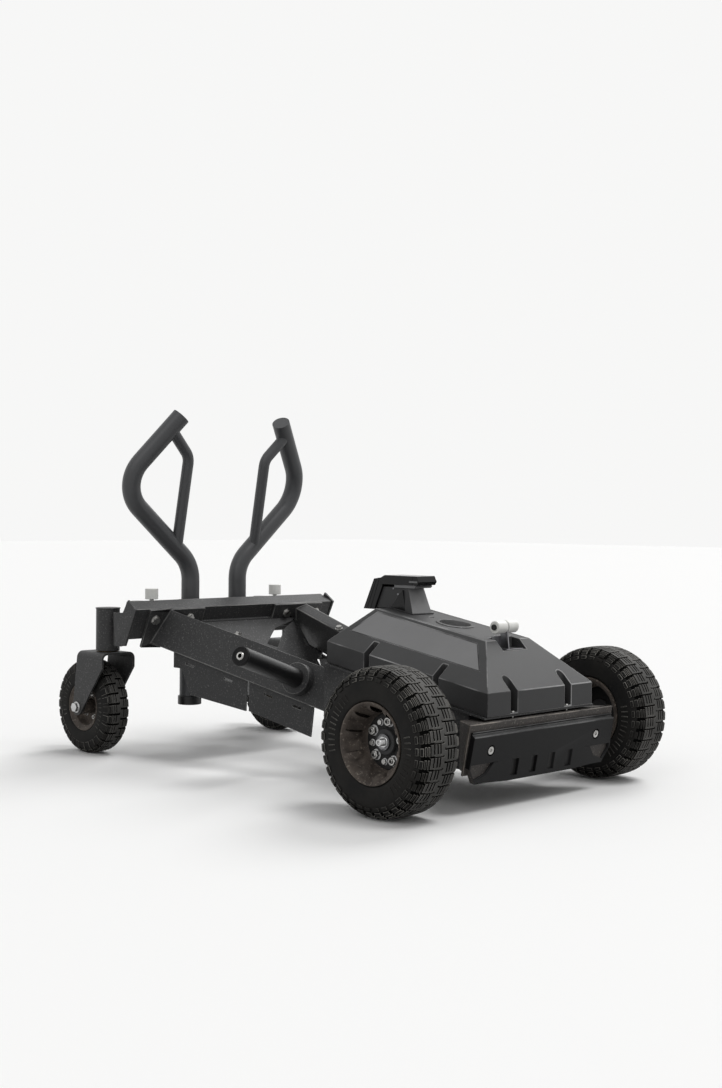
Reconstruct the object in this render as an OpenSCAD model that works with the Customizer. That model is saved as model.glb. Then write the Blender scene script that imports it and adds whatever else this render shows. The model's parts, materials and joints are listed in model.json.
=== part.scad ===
// Wheeled push sled: treaded front wheels on a braked live axle, trailing casters and two push handles.
// Millimetres, +X forward, +Y to the left, +Z up; origin on the floor below the middle of the overall length.

/* [Wheels] */
// Outside diameter of the front tyres
front_tyre_d = 330.2; // [316:0.2:344]
// Width of the front tyres
front_tyre_w = 127; // [118:0.5:134]
// Distance between the middles of the front tyres
track_w = 775.4; // [765:0.2:820]
// Diameter of the drive axle
axle_d = 25.4; // [22:0.2:28]
// Outside diameter of the caster tyres
caster_tyre_d = 254; // [240:0.5:260]
// Width of the caster tyres
caster_tyre_w = 76.2; // [66:0.2:80]
// Distance from the front axle to the axles of the trailing casters
wheelbase = 1177; // [1150:1:1215]

/* [Frame] */
// Thickness of the side beams
beam_w = 38.1; // [34:0.1:42]
// Height of the side beams
beam_h = 101.6; // [94:0.1:106]
// Thickness of the folded plates
plate_t = 5; // [4:0.5:6]
// Diameter of the sleeve on the weight horns
horn_d = 48; // [42:0.5:50]
// Length of a weight horn from the face of the beam
horn_len = 275; // [200:1:300]

/* [Handles] */
// Diameter of the push handle tube
grip_d = 50.8; // [46:0.2:52]
// Wall of the push handle tube
grip_wall = 3; // [2:0.5:4]
// Height of the grip ends above the floor
grip_z = 923.4; // [900:0.2:950]
// Lift of the handles in their sleeves
handle_lift = 60; // [30:1:70]

/* [Hood] */
// Wall of the hood and of the cup insert
hood_wall = 4; // [3:0.5:5]
// Diameter of the cup opening
cup_d = 78; // [68:0.5:84]
// Diameter of the strap rollers
roller_d = 30; // [24:0.5:34]
// Length of one strap roller
roller_len = 34; // [28:0.5:38]

/* [Drive] */
// Belt radius on the pulley of the axle
axle_pulley_r = 69; // [60:0.5:72]
// Belt radius on the pulley of the brake rotor
rotor_pulley_r = 23; // [20:0.5:26]
// Diameter of the brake rotor
rotor_d = 150; // [136:1:154]

/* [Hidden] */
$fn = 64;
eps = 0.01;
far_off = 1500;
seat_gap = 0.3;
run_gap = 0.06;
bolt_play = 0.3;
weld = 1;

front_tyre_r = front_tyre_d / 2;
caster_tyre_r = caster_tyre_d / 2;
axle_r = axle_d / 2;
front_x = (wheelbase + caster_tyre_r - front_tyre_r) / 2;
rear_x = front_x - wheelbase;
measured_base = 1177.28;

front_lip_r = 90.5;
front_seat_r = 76.2;
dish_z = 2;
dish_plate = 4;
hub_r = 30;
hub_h = 11;
lug_pcd_r = 45;
lug_turn = 63;
nut_h = 11;
hub_washer_h = 4;
axle_stub = 14;
axle_stub_r = 8;
wheel_y = track_w / 2;
groove_depth = 7;

caster_lip_r = 66;
caster_seat_r = 55;
caster_axle_r = 7.5;
head_x = -1111;
head_cap = 2.5;
head_top = 400;
head_bottom = 284;
head_r = 32;
crown_top = 281;
stem_r = 15;
fork_plate = 6;
fork_bend = 18;
fork_play = 9.9;
fork_half = caster_tyre_w / 2 + fork_play + fork_plate;

cross_tilt = 23.7;
cross_w = 50.8;
cross_h = 89;
cross_half = 355.5;
cross_wall = 5;
head_y = cross_half - 16.5;
flange_t = 8;
flange_bolts = [[292, -28.7], [177, -27]];

beam_yaw = 10.44;
beam_pitch = 13.37;
beam_roll = -17.5;
beam_start = [-983, -253.83, 405.41];
beam_wall = 4;
top_bolt = [252, 27];
bulkhead_x = -195;
chassis_rear = -417;
front_shift = wheelbase - measured_base;
horn_back = 86.27;
horn_s = (chassis_rear - beam_start[0] + front_shift) / (cos(beam_yaw) * cos(beam_pitch)) - horn_back;
collar_r = 40;
collar_len = 25;
panel_t = 5;

web_top = [124.7, 0, 200.8];
web_lean = 10.7;
web_len = 116;
hood_pitch = 9.3;
hood_slope = tan(hood_pitch);
hood_front = 114.3;
hood_rear = -401.8;
hood_half = 192;
screw_y = hood_half + 1;
chassis_y = hood_half - 11;
ledge_half = hood_half + 8;
plateau_half = 79;
plateau_front = 11.8;
plateau_rear = -346.2;
cup_x = -154;
cup_flange = 8;
screw_in = 5.2;
skirt_bottom_front = 210;
skirt_top_front = 263;
plateau_z_front = 367.6;

rotor_pos = [-95, 0, 250];
rotor_y = -57;
rotor_t = 6;
rotor_shaft_r = 8;
belt_y = 60;
belt_t = 4;
belt_w = 12;
belt_steps = 28;
pulley_room = 6;
pivot_pos = [-178, 0, 190];
pivot_r = 5;
cable_r = 3;
arm_t = 6;
magnet_t = 3;
magnet_gap = 1;

handle_x = -1073;
handle_y = 86;
grip_r = grip_d / 2;
lower_tube_r = grip_r + 3.1;
bend_r = 95;
bend_step = 0.1;
bend_lap = 0.6;
collar_z = 441;
sleeve_bottom = 225;
sleeve_wall = 6;
foot_r = 33;
foot_bottom = 121;
foot_top = 145;
pin_pos = [-1066.5, 226, 435.7];
post_pos = [-1133, 225, 412];
roller_pos = [1, 0, 397];
roller_pin_r = 4;
tab_half = 2;

// Stations of the front group are measured from the front axle, those of the rear group move with the casters.
module at_front() { translate([front_x, 0, 0]) children(); }
module at_rear() { translate([rear_x + measured_base, 0, 0]) children(); }
module left_of() { mirror([0, 1, 0]) children(); }
module both_sides() { children(); mirror([0, 1, 0]) children(); }

function plateau_z(x) = plateau_z_front + hood_slope * (plateau_front - x);
function skirt_z(x) = skirt_bottom_front + hood_slope * (hood_front - x);
function unit(v) = v / norm(v);

// Points of the front side panel: they spread and drop along the beam when the wheelbase changes.
function spread(x, z) = let (moved = (x + 670) * front_shift / 202) [x + moved, z - moved * tan(beam_pitch)];

// Extrudes an X-Z outline across Y.
module slab(outline, y_low, y_high) {
    translate([0, y_high, 0]) rotate([90, 0, 0]) linear_extrude(y_high - y_low) polygon(outline);
}

// Cylinder across Y, centred on a point.
module cross_rod(pos, r, y_low, y_high) {
    translate([pos[0], y_high, pos[2]]) rotate([90, 0, 0]) cylinder(r = r, h = y_high - y_low);
}

function heading(axes, d) = [atan2(d * axes[1], d * axes[0]), acos(d * axes[2])];

function turned(axes, h) =
    let (across = axes[0] * cos(h[0]) + axes[1] * sin(h[0]), beside = axes[1] * cos(h[0]) - axes[0] * sin(h[0]))
    [across * cos(h[1]) - axes[2] * sin(h[1]), beside, axes[2] * cos(h[1]) + across * sin(h[1])];

// One straight run of a bent tube along z, then its bend, then the rest of the path in the turned frame.
module tube_run(path, bend, r, axes, i, cut) {
    last = i == len(path) - 2;
    h = last ? [0, 0] : heading(axes, unit(path[i + 2] - path[i + 1]));
    next_cut = last ? 0 : bend * tan(h[1] / 2);
    run = norm(path[i + 1] - path[i]) - cut - next_cut;
    low = i == 0 ? 0 : -bend_lap;
    translate([0, 0, low]) cylinder(r = r, h = run - low + (last ? 0 : bend_lap));
    if (!last) translate([0, 0, run]) rotate([0, 0, h[0]]) {
        translate([bend, 0, 0]) rotate([90, 0, 180])
            rotate_extrude(angle = h[1]) translate([bend, 0]) circle(r = r - bend_step);
        translate([bend, 0, 0]) rotate([0, h[1], 0]) translate([-bend, 0, 0])
            tube_run(path, bend, r, turned(axes, h), i + 1, next_cut);
    }
}

// Round tube along a list of points, with the same radius at every bend.
module bent_tube(path, bend, r) {
    upright = [[1, 0, 0], [0, 1, 0], [0, 0, 1]];
    h = heading(upright, unit(path[1] - path[0]));
    translate(path[0]) rotate([0, h[1], h[0]]) tube_run(path, bend, r, turned(upright, h), 0, 0, $fn = 36);
}

module rod_between(a, b, r) {
    d = b - a;
    translate(a) rotate([0, acos(d[2] / norm(d)), atan2(d[1], d[0])]) cylinder(r = r, h = norm(d));
}

// Frame of the cross beam: x out of its front face, z up the face, origin on the top front edge.
module on_cross() { at_rear() translate([-958, 0, 402]) rotate([0, cross_tilt, 0]) children(); }

// Frame of the right side beam: x forward along it, -y outward, origin on its outer top edge.
module on_beam() {
    at_rear() translate(beam_start) rotate([0, 0, beam_yaw]) rotate([0, beam_pitch, 0])
        rotate([beam_roll, 0, 0]) children();
}

module on_web() { at_front() translate(web_top) rotate([0, web_lean, 0]) children(); }

module on_wall() { at_rear() translate([-968.4, 0, 358.5]) rotate([0, 50, 0]) children(); }

module on_plateau(x) { at_front() translate([x, 0, plateau_z(x)]) rotate([0, hood_pitch, 0]) children(); }

module hex_bolt(corner_r, head_h, washer_r, washer_h, shank_r, shank_len) {
    cylinder(r = washer_r, h = washer_h);
    translate([0, 0, washer_h]) cylinder(r = corner_r, h = head_h, $fn = 6);
    translate([0, 0, -shank_len]) cylinder(r = shank_r, h = shank_len);
}

module cross_beam() {
    color("DimGray") {
        difference() {
            on_cross() translate([-cross_w, -cross_half, -cross_h]) cube([cross_w, 2 * cross_half, cross_h]);
            on_cross() translate([-cross_w + cross_wall, -far_off, -cross_h + cross_wall])
                cube([cross_w - 2 * cross_wall, 2 * far_off, cross_h - 2 * cross_wall]);
            both_sides() for (b = flange_bolts)
                on_cross() translate([-2 * cross_wall, b[0], b[1]]) rotate([0, 90, 0])
                    cylinder(r = 6 + bolt_play, h = 4 * cross_wall);
        }
        both_sides() difference() {
            at_rear() slab([[-1013, 393], [-1017, 385], [-1155, 385], [-1155, 393]], 204, 246);
            at_rear() translate([pin_pos[0], pin_pos[1], 300]) cylinder(r = 13 + bolt_play, h = 150);
            at_rear() translate([post_pos[0], post_pos[1], 300]) cylinder(r = 13, h = 150);
        }
    }
}

module right_caster_head() {
    color("DimGray") at_rear() difference() {
        union() {
            slab([[-989, 426], [-954, 401.7], [-1002, 303.5], [-1045, 300.7], [-1054.7, 389], [-1012, 391.7]],
                -cross_half - 6.5, -cross_half - seat_gap);
            translate([0, -cross_half, 301]) linear_extrude(88)
                polygon([[-1020, -6.5], [-1046, -6.5], [-1106, 24.5], [-1106, 32.5], [-1044, -weld],
                    [-1020, -weld]]);
            translate([head_x, -head_y, head_bottom]) cylinder(r = head_r, h = head_top - head_bottom);
            translate([head_x, -head_y, head_top - head_cap]) cylinder(r = head_r + 1.5, h = head_cap);
        }
        translate([head_x, -head_y, head_bottom - 1])
            cylinder(r = stem_r + 7, h = head_top - head_bottom - 3);
    }
}

module left_caster_head() { left_of() right_caster_head(); }

module caster_bushes() {
    color("Silver") both_sides() at_rear() translate([head_x, head_y, 0]) difference() {
        union() {
            translate([0, 0, crown_top + seat_gap]) cylinder(r = head_r - 4, h = head_bottom - crown_top - 2 * seat_gap);
            translate([0, 0, crown_top + seat_gap])
                cylinder(r = stem_r + 7 - run_gap, h = head_top - 8 - crown_top);
        }
        translate([0, 0, crown_top - 1]) cylinder(r = stem_r + run_gap, h = head_top);
    }
}

module handle_sleeves() {
    bore_r = grip_r + run_gap;
    color("DarkSlateGray") both_sides() difference() {
        at_rear() union() {
            translate([handle_x, handle_y, sleeve_bottom])
                cylinder(r = lower_tube_r + sleeve_wall, h = collar_z - sleeve_bottom);
            slab([[-1090, sleeve_bottom], [-1042, sleeve_bottom], [-1042, 336], [-1040.5, 340],
                [-1005, 421], [-1090, 421]], handle_y - 44, handle_y + 44);
        }
        at_rear() translate([handle_x, handle_y, 0]) {
            cylinder(r = bore_r, h = far_off);
            cylinder(r = lower_tube_r + run_gap, h = sleeve_bottom + handle_lift + 12);
        }
        on_cross() translate([-cross_w - seat_gap, -far_off / 2, -cross_h - seat_gap])
            cube([far_off / 2, far_off, far_off / 2]);
    }
}

module flange() {
    rotate([90, 0, 90]) linear_extrude(flange_t - seat_gap)
        polygon([[-127.5, 0], [-314, 0], [-314, -112], [-248, -115], [-200, -72], [-127.5, -70]]);
}

module beam_box(grow, extra) {
    translate([-60, beam_wall - grow - beam_wall, -beam_h - grow])
        cube([far_off, beam_w + 2 * grow, beam_h + 2 * grow + extra]);
}

module right_side_beam() {
    color("DimGray") {
        difference() {
            on_beam() beam_box(0, 0);
            on_beam() beam_box(-beam_wall, 0);
            on_cross() translate([flange_t - weld - far_off, -far_off, -far_off])
                cube([far_off, 2 * far_off, 2 * far_off]);
            at_front() translate([bulkhead_x - seat_gap, -far_off, -far_off]) cube(2 * far_off);
            on_beam() translate([horn_s, 10, -beam_h / 2]) rotate([90, 0, 0])
                cylinder(r = 8 + bolt_play, h = 20);
            on_beam() translate([top_bolt[0], top_bolt[1], -2 * beam_wall]) cylinder(r = 5 + bolt_play, h = 20);
        }
        difference() {
            on_cross() translate([seat_gap, 0, 0]) flange();
            on_cross() for (b = flange_bolts)
                translate([-eps, -b[0], b[1]]) rotate([0, 90, 0]) cylinder(r = 6 + bolt_play, h = 2 * flange_t);
        }
    }
}

module left_side_beam() { left_of() right_side_beam(); }

module beam_bolts() {
    color("Silver") both_sides() for (b = flange_bolts)
        on_cross() translate([flange_t, b[0], b[1]]) rotate([0, 90, 0]) {
            hex_bolt(10.5, 7.5, 13, 2.5, 6, 26);
            translate([0, 0, -flange_t - cross_wall - 9]) cylinder(r = 10, h = 9, $fn = 6);
        }
    color("Silver") both_sides() on_beam() translate([top_bolt[0], top_bolt[1], seat_gap])
        hex_bolt(8.5, 6.5, 10.5, 2, 5, 14);
}

module rear_wall() {
    half = 217.5;
    slot = [[212, 8], [158, 36], [123, 72], [96, 100], [62, 86], [127, 30]];
    color("DimGray") difference() {
        union() {
            on_wall() translate([-10, -half, -panel_t]) cube([255, 2 * half, panel_t]);
            on_cross() translate([seat_gap, -126.9, -64]) cube([flange_t - seat_gap, 253.8, 22]);
            both_sides() on_wall() {
                translate([112, half - 1, -panel_t]) cube([36, 60, panel_t]);
                translate([200, half - 1, -panel_t]) cube([36, 40, panel_t]);
            }
        }
        both_sides() {
            on_wall() translate([0, 0, -2 * panel_t]) linear_extrude(4 * panel_t)
                polygon([for (p = slot) [p[1], p[0]]]);
            on_wall() for (s = [5, 73]) translate([s, half - 12, -2 * panel_t]) cube([30, 6, 4 * panel_t]);
            on_cross() translate([-far_off, 127, -far_off])
                cube([far_off + flange_t + seat_gap, far_off, 2 * far_off]);
            at_rear() translate([-921, 255 - panel_t / 2 - seat_gap, 0]) rotate([0, 0, -beam_yaw])
                translate([-far_off, 0, -far_off]) cube(2 * far_off);
        }
        on_cross() translate([-far_off, -far_off, -far_off]) cube([far_off + seat_gap, 2 * far_off, 2 * far_off]);
    }
}

// Plate under the middle of the right beam, in its own yawed plane; outlines are X-Z stations.
module panel(outline, slots) {
    difference() {
        at_rear() translate([-921, -255, 0]) rotate([0, 0, beam_yaw])
            slab([for (p = outline) [(p[0] + 921) / cos(beam_yaw), p[1]]], -panel_t / 2, panel_t / 2);
        on_beam() beam_box(seat_gap, far_off);
        for (s = slots)
            at_rear() translate([s[0], -255 + (s[0] + 921) * tan(beam_yaw), s[1]]) rotate([0, beam_pitch, beam_yaw])
                translate([-14, -20, -3]) cube([28, 40, 6]);
    }
}

module right_side_panels() {
    color("DimGray") {
        panel([[-921, 300], [-921, 283], [-898, 246], [-867, 177], [-681.5, 149], [-678, 260]],
            [[-870, 256], [-740, 225]]);
        panel([spread(-670, 260), spread(-672, 150), spread(-476, 101), spread(-468, 169), spread(-468, 220)],
            [spread(-610, 194), spread(-520, 172)]);
    }
}

module left_side_panels() { left_of() right_side_panels(); }

module on_horn() { on_beam() translate([horn_s, 0, -beam_h / 2]) rotate([90, 0, 0]) children(); }

module right_weight_horn() {
    color("DimGray") on_horn() {
        difference() {
            union() {
                translate([0, 0, seat_gap]) cylinder(r = collar_r, h = collar_len - seat_gap);
                cylinder(r = horn_d / 2 - 3, h = horn_len - 4);
            }
            translate([0, 0, -eps]) cylinder(r = horn_d / 2 - 7, h = horn_len - 12);
            translate([0, 0, -eps]) cylinder(r = collar_r + 1, h = seat_gap + eps);
            cylinder(r = 6, h = horn_len);
        }
    }
}

module left_weight_horn() { left_of() right_weight_horn(); }

module horn_sleeves() {
    color("Black") both_sides() on_horn() translate([0, 0, collar_len + seat_gap]) difference() {
        cylinder(r = horn_d / 2, h = horn_len - collar_len - 5 - seat_gap);
        translate([0, 0, -1]) cylinder(r = horn_d / 2 - 3 + run_gap, h = horn_len);
    }
}

module horn_caps() {
    color("Silver") both_sides() on_horn() translate([0, 0, horn_len - 4 + seat_gap]) difference() {
        union() {
            cylinder(r = horn_d / 2 - 0.5, h = 4);
            cylinder(r = 10, h = 13);
            translate([0, 0, -20]) cylinder(r = 5.8, h = 21);
        }
        translate([0, 0, 6]) cylinder(r = 5, h = 10, $fn = 6);
    }
}

module front_crossmember() {
    top_z = web_top[2];
    color("SaddleBrown") {
        difference() {
            union() {
                at_front() translate([0, 0, top_z - plate_t]) linear_extrude(plate_t)
                    polygon([[web_top[0], -263], [web_top[0], 263], [54.4, 217], [54.4, -217]]);
                on_web() translate([-plate_t, -262, -web_len]) cube([plate_t, 524, web_len]);
                both_sides() at_front() translate([0, 0, 90]) linear_extrude(top_z - 90)
                    polygon([[130, 266.5], [54.4, 217], [54.4, 211], [130, 260.5]]);
            }
            on_web() translate([0, -far_off, -far_off]) cube([far_off, 2 * far_off, 2 * far_off]);
            at_front() cross_rod([0, 0, front_tyre_r], axle_pulley_r + belt_t + pulley_room,
                belt_y - belt_w / 2 - pulley_room, belt_y + belt_w / 2 + pulley_room);
            both_sides() on_web() translate([-20, screw_y, -60]) rotate([0, 90, 0])
                cylinder(r = 4 + bolt_play, h = 40);
        }
    }
}

module chassis_plates() {
    top = [for (x = [hood_rear, hood_front - 2]) [x, skirt_z(x) - 2 * seat_gap]];
    color("DimGray") {
        difference() {
            union() {
                both_sides() {
                    at_front() slab([[chassis_rear, 85], [130, 85], [130, 195.8 - seat_gap], [54, 195.8 - seat_gap],
                        [54, skirt_z(54) - 2], [hood_rear, skirt_z(hood_rear) - 2], [chassis_rear, 290]],
                        chassis_y, chassis_y + plate_t);
                    at_front() slab([top[0], top[1], top[1] - [0, 4], top[0] - [0, 4]], chassis_y, ledge_half);
                }
                at_front() translate([bulkhead_x, -chassis_y - 1, 95])
                    cube([plate_t, 2 * chassis_y + 2, 200]);
                at_front() slab([[92, skirt_z(92) - 2 * seat_gap], top[1], top[1] - [0, 4],
                    [92, skirt_z(92) - 4 - 2 * seat_gap]], -ledge_half, ledge_half);
            }
            on_web() translate([-plate_t - seat_gap, -far_off, -far_off])
                cube([far_off, 2 * far_off, 2 * far_off]);
            at_front() cross_rod([0, 0, front_tyre_r], axle_r + 3, -far_off, far_off);
            both_sides() at_front() translate([hood_front - screw_in, 99, 190]) cylinder(r = 2.6, h = 40);
            for (x = [-265, -42]) both_sides()
                at_front() translate([x, hood_half - screw_in, skirt_z(x) - 20]) cylinder(r = 2.6, h = 40);
        }
    }
}

module fascia() {
    body = [[-255, -16], [255, -16], [258, -97], [233, -134], [193, -134], [120, -138], [-120, -138],
        [-193, -134], [-233, -134], [-258, -97]];
    color("#1c1c1e") difference() {
        union() {
            on_web() rotate([90, 0, 90]) translate([0, 0, seat_gap]) linear_extrude(13) polygon(body);
        }
        on_web() translate([seat_gap + 6, -far_off / 2, -16]) rotate([0, 22, 0])
            translate([0, 0, -6]) cube([40, far_off, 40]);
        for (y = [-99, -33, 33, 99]) on_web() translate([7, y - 11, -128]) cube([20, 22, 40]);
        both_sides() on_web() rotate([90, 0, 90]) translate([0, 0, 6]) linear_extrude(20)
            polygon([[155, -88], [254, -88], [254, -100], [236, -126], [197, -113], [177, -89]]);
        both_sides() on_web() translate([-1, screw_y, -60]) rotate([0, 90, 0]) cylinder(r = 4 + bolt_play, h = 40);
        both_sides() on_web() translate([9, screw_y, -60]) rotate([0, 90, 0]) cylinder(r = 13, h = 40);
    }
}

module fascia_screws() {
    color("Silver") both_sides() on_web() translate([9 + seat_gap, screw_y, -60]) rotate([0, 90, 0]) difference() {
        union() {
            cylinder(r = 9, h = 4);
            translate([0, 0, -26]) cylinder(r = 4, h = 27);
        }
        translate([0, 0, 1.5]) cylinder(r = 4, h = 5, $fn = 6);
    }
}

// Faceted shell: an upright skirt under four slopes and a plateau, all along one pitch.
module hood_solid(in) {
    side = hood_half - in;
    front = hood_front - in;
    rear = hood_rear + in;
    top_side = plateau_half - in * 0.4;
    top_front = plateau_front - in * 0.4;
    top_rear = plateau_rear + in * 0.4;
    down = in > 0 ? 5 : 0;
    low = [for (x = [front, rear]) skirt_z(x) - down];
    mid = [for (x = [front, rear]) skirt_top_front + hood_slope * (hood_front - x) - in * 0.35];
    up = [for (x = [top_front, top_rear]) plateau_z(x) - in];
    polyhedron(
        points = [[front, -side, low[0]], [front, side, low[0]], [rear, side, low[1]], [rear, -side, low[1]],
            [front, -side, mid[0]], [front, side, mid[0]], [rear, side, mid[1]], [rear, -side, mid[1]],
            [top_front, -top_side, up[0]], [top_front, top_side, up[0]],
            [top_rear, top_side, up[1]], [top_rear, -top_side, up[1]]],
        faces = [[0, 1, 2, 3], [0, 4, 5, 1], [1, 5, 6, 2], [2, 6, 7, 3], [3, 7, 4, 0],
            [4, 8, 9, 5], [5, 9, 10, 6], [6, 10, 11, 7], [7, 11, 8, 4], [8, 11, 10, 9]]);
}

module slot_box(x_low, x_high, y_low, y_high, z_low, z_high) {
    translate([x_low, y_low, z_low]) cube([x_high - x_low, y_high - y_low, z_high - z_low]);
}

module hood() {
    recess = [[-14, 380], [34, 380], [34, 344], [-14, 344]];
    color("#232325") at_front() difference() {
        union() {
            difference() {
                hood_solid(0);
                hood_solid(hood_wall);
            }
            intersection() {
                hood_solid(0);
                union() {
                    both_sides() {
                        slot_box(hood_front - 14, hood_front, 99 - 16, 99 + 16, 200, 320);
                        for (x = [-265, -42]) slot_box(x - 12, x + 12, hood_half - 14, hood_half,
                            200, skirt_z(x) + 75);
                    }
                    slot_box(plateau_front - 30, 40, -51, 51, 340, 380);
                }
            }
        }
        both_sides() {
            slot_box(hood_front - 10, hood_front + 5, 99 - 12, 99 + 12, skirt_z(hood_front) + 4, 291);
            for (x = [-265, -42]) slot_box(x - 8.5, x + 8.5, hood_half - 10, hood_half + 5,
                skirt_z(x) + 4, skirt_z(x) + 67);
            translate([hood_front - screw_in, 99, 190]) cylinder(r = 2.6, h = 40);
            for (x = [-265, -42]) translate([x, hood_half - screw_in, skirt_z(x) - 20]) cylinder(r = 2.6, h = 40);
        }
        slab(recess, -43, 43);
        translate([cup_x, 0, plateau_z(cup_x)]) rotate([0, hood_pitch, 0]) translate([0, 0, -60])
            cylinder(r = cup_d / 2 + hood_wall + seat_gap, h = 120);
        translate([-230, 0, 380]) cylinder(r = 6, h = 60);
    }
}

module hood_screws() {
    color("Silver") both_sides() at_front() {
        translate([hood_front - screw_in, 99, skirt_z(hood_front) + 4 + seat_gap]) {
            cylinder(r = 4, h = 3.5);
            translate([0, 0, -12.5]) cylinder(r = 2.4, h = 13.5);
        }
        for (x = [-265, -42]) translate([x, hood_half - screw_in, skirt_z(x) + 4 + seat_gap]) {
            cylinder(r = 4, h = 3.5);
            translate([0, 0, -14]) cylinder(r = 2.4, h = 15);
        }
    }
}

module console() {
    foot_front = cup_x - cup_d / 2 - cup_flange - 2;
    foot = [for (x = [-346, foot_front]) [x, plateau_z(x) + seat_gap]];
    cheek = [[-263, plateau_z(-263) + seat_gap], [foot_front, plateau_z(foot_front) + seat_gap], [-225, 480],
        [-279, 480]];
    color("#2a2a2c") at_front() difference() {
        union() {
            slab([foot[0], foot[1], foot[1] + [0, 11], foot[0] + [0, 9]], -38, 38);
            slab(cheek, -35, -29);
            slab(cheek, 29, 35);
            slab([[-340, 430], [-270, plateau_z(-270) + seat_gap], [-240, 480], [-292, 480]], -24, 24);
            slab([[-381, 477], [-232, 475], [-228, 484], [-236, 499], [-250, 507], [-362, 507], [-381, 498]], -35, 35);
            slab([[-436, 420], [-398, 420], [-371, 478], [-371, 502], [-400, 497]], -32, 32);
        }
        slab([[-250, 400], [-215, 400], [-232, 470], [-262, 470]], -20, 20);
    }
}

// Frame of the console's rear face: z out of the face, x across, y up the face.
module on_screen() {
    at_front() translate([-436, 0, 420]) multmatrix([[0, 0.4235, -0.9059, 0], [-1, 0, 0, 0],
        [0, 0.9059, 0.4235, 0], [0, 0, 0, 1]]) children();
}

module console_screen() {
    color("#101418") on_screen() translate([-27, 38, seat_gap]) cube([54, 40, 2.5]);
}

module selector_lever() {
    color("Silver") on_screen() translate([0, 20, seat_gap]) {
        cylinder(r = 11, h = 8);
        translate([-29, -4, 1]) cube([29, 8, 5]);
    }
}

module cup_holder() {
    r = cup_d / 2;
    color("#161617") on_plateau(cup_x) rotate_extrude() polygon([[0, -58], [r - 4, -58], [r + hood_wall, -50],
        [r + hood_wall, seat_gap], [r + cup_flange, seat_gap], [r + cup_flange, 2.5], [r, 2.5], [r, -50], [r - 6, -54], [0, -54]]);
}

module roller_bracket() {
    color("Silver") at_front() {
        slab([[-13.7, 375], [-13.7, 344.3], [33.7, 344.3], [33.7, 347.3], [-10.7, 347.3], [-10.7, 375]], -30, 30);
        slab([[-12, 346], [16, 346], [9, 405], [-8, 405]], -tab_half, tab_half);
        cross_rod(roller_pos, roller_pin_r, -roller_len - 4, roller_len + 4);
        both_sides() cross_rod(roller_pos, 7, roller_len + 2 * tab_half - 1, roller_len + 2 * tab_half + 2);
    }
}

module right_strap_roller() {
    color("White") at_front() difference() {
        cross_rod(roller_pos, roller_d / 2, -roller_len - tab_half - seat_gap, -tab_half - seat_gap);
        cross_rod(roller_pos, roller_pin_r + run_gap, -far_off, far_off);
    }
}

module left_strap_roller() { left_of() right_strap_roller(); }

module axle_bearings() {
    color("SlateGray") both_sides() at_front() difference() {
        union() {
            cross_rod([0, 0, front_tyre_r], axle_r + 22, chassis_y - 9 - seat_gap, chassis_y - seat_gap);
            cross_rod([0, 0, front_tyre_r], axle_r + 14, chassis_y - 24, chassis_y - 1);
        }
        cross_rod([0, 0, front_tyre_r], axle_r + run_gap, -far_off, far_off);
    }
}

module front_axle() {
    shoulder = wheel_y + dish_z + hub_h + hub_washer_h + 1;
    color("Silver") at_front() {
        cross_rod([0, 0, front_tyre_r], axle_r, -shoulder, shoulder);
        cross_rod([0, 0, front_tyre_r], axle_stub_r, -shoulder - axle_stub, shoulder + axle_stub);
    }
}

module axle_pulley() {
    r = axle_pulley_r;
    color("Silver") at_front() translate([0, belt_y, front_tyre_r]) rotate([90, 0, 0]) difference() {
        rotate_extrude() polygon([[axle_r + run_gap, -14], [axle_r + 12, -14], [axle_r + 12, -5], [r - 10, -5],
            [r - 10, -9], [r + 3, -9], [r + 3, -7], [r, -7], [r, 7], [r + 3, 7], [r + 3, 9], [r - 10, 9],
            [r - 10, 5], [axle_r + 12, 5], [axle_r + 12, 14], [axle_r + run_gap, 14]]);
        for (i = [0:4]) rotate([0, 0, i * 72]) translate([(r + axle_r) / 2, 0, -20]) cylinder(r = 8, h = 40);
    }
}

module rotor_shaft() {
    r = rotor_pulley_r;
    color("Silver") at_front() {
        difference() {
            translate([rotor_pos[0], belt_y, rotor_pos[2]]) rotate([90, 0, 0]) rotate_extrude()
                polygon([[0, -9], [r + 3, -9], [r + 3, -7], [r, -7], [r, 7], [r + 3, 7], [r + 3, 9], [0, 9]]);
        }
        cross_rod(rotor_pos, rotor_shaft_r, -100, 100);
    }
}

module brake_rotor() {
    color("Gainsboro") at_front() difference() {
        union() {
            cross_rod(rotor_pos, rotor_d / 2, rotor_y - rotor_t / 2, rotor_y + rotor_t / 2);
            cross_rod(rotor_pos, 16, rotor_y - rotor_t / 2, rotor_y + 14);
        }
        cross_rod(rotor_pos, rotor_shaft_r + run_gap, -far_off, far_off);
    }
}

module rotor_bearings() {
    color("SlateGray") both_sides() at_front() difference() {
        union() {
            slab([[bulkhead_x + plate_t + seat_gap, 222], [-95, 234], [-95, 266],
                [bulkhead_x + plate_t + seat_gap, 278]], 84, 94);
            cross_rod(rotor_pos, 20, 82, 96);
        }
        cross_rod(rotor_pos, rotor_shaft_r + run_gap, -far_off, far_off);
    }
}

// Outline of the belt loop: an arc round each pulley, joined by the straight runs.
function belt_outline(grow) =
    let (d = [rotor_pos[0], rotor_pos[2] - front_tyre_r], along = atan2(d[1], d[0]),
        big = axle_pulley_r + grow, small = rotor_pulley_r + grow, tip = acos((big - small) / norm(d)))
    concat([for (a = [along + tip:(360 - 2 * tip) / belt_steps:along + 360 - tip + eps]) big * [cos(a), sin(a)]],
        [for (a = [along - tip:2 * tip / belt_steps:along + tip + eps]) d + small * [cos(a), sin(a)]]);

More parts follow.
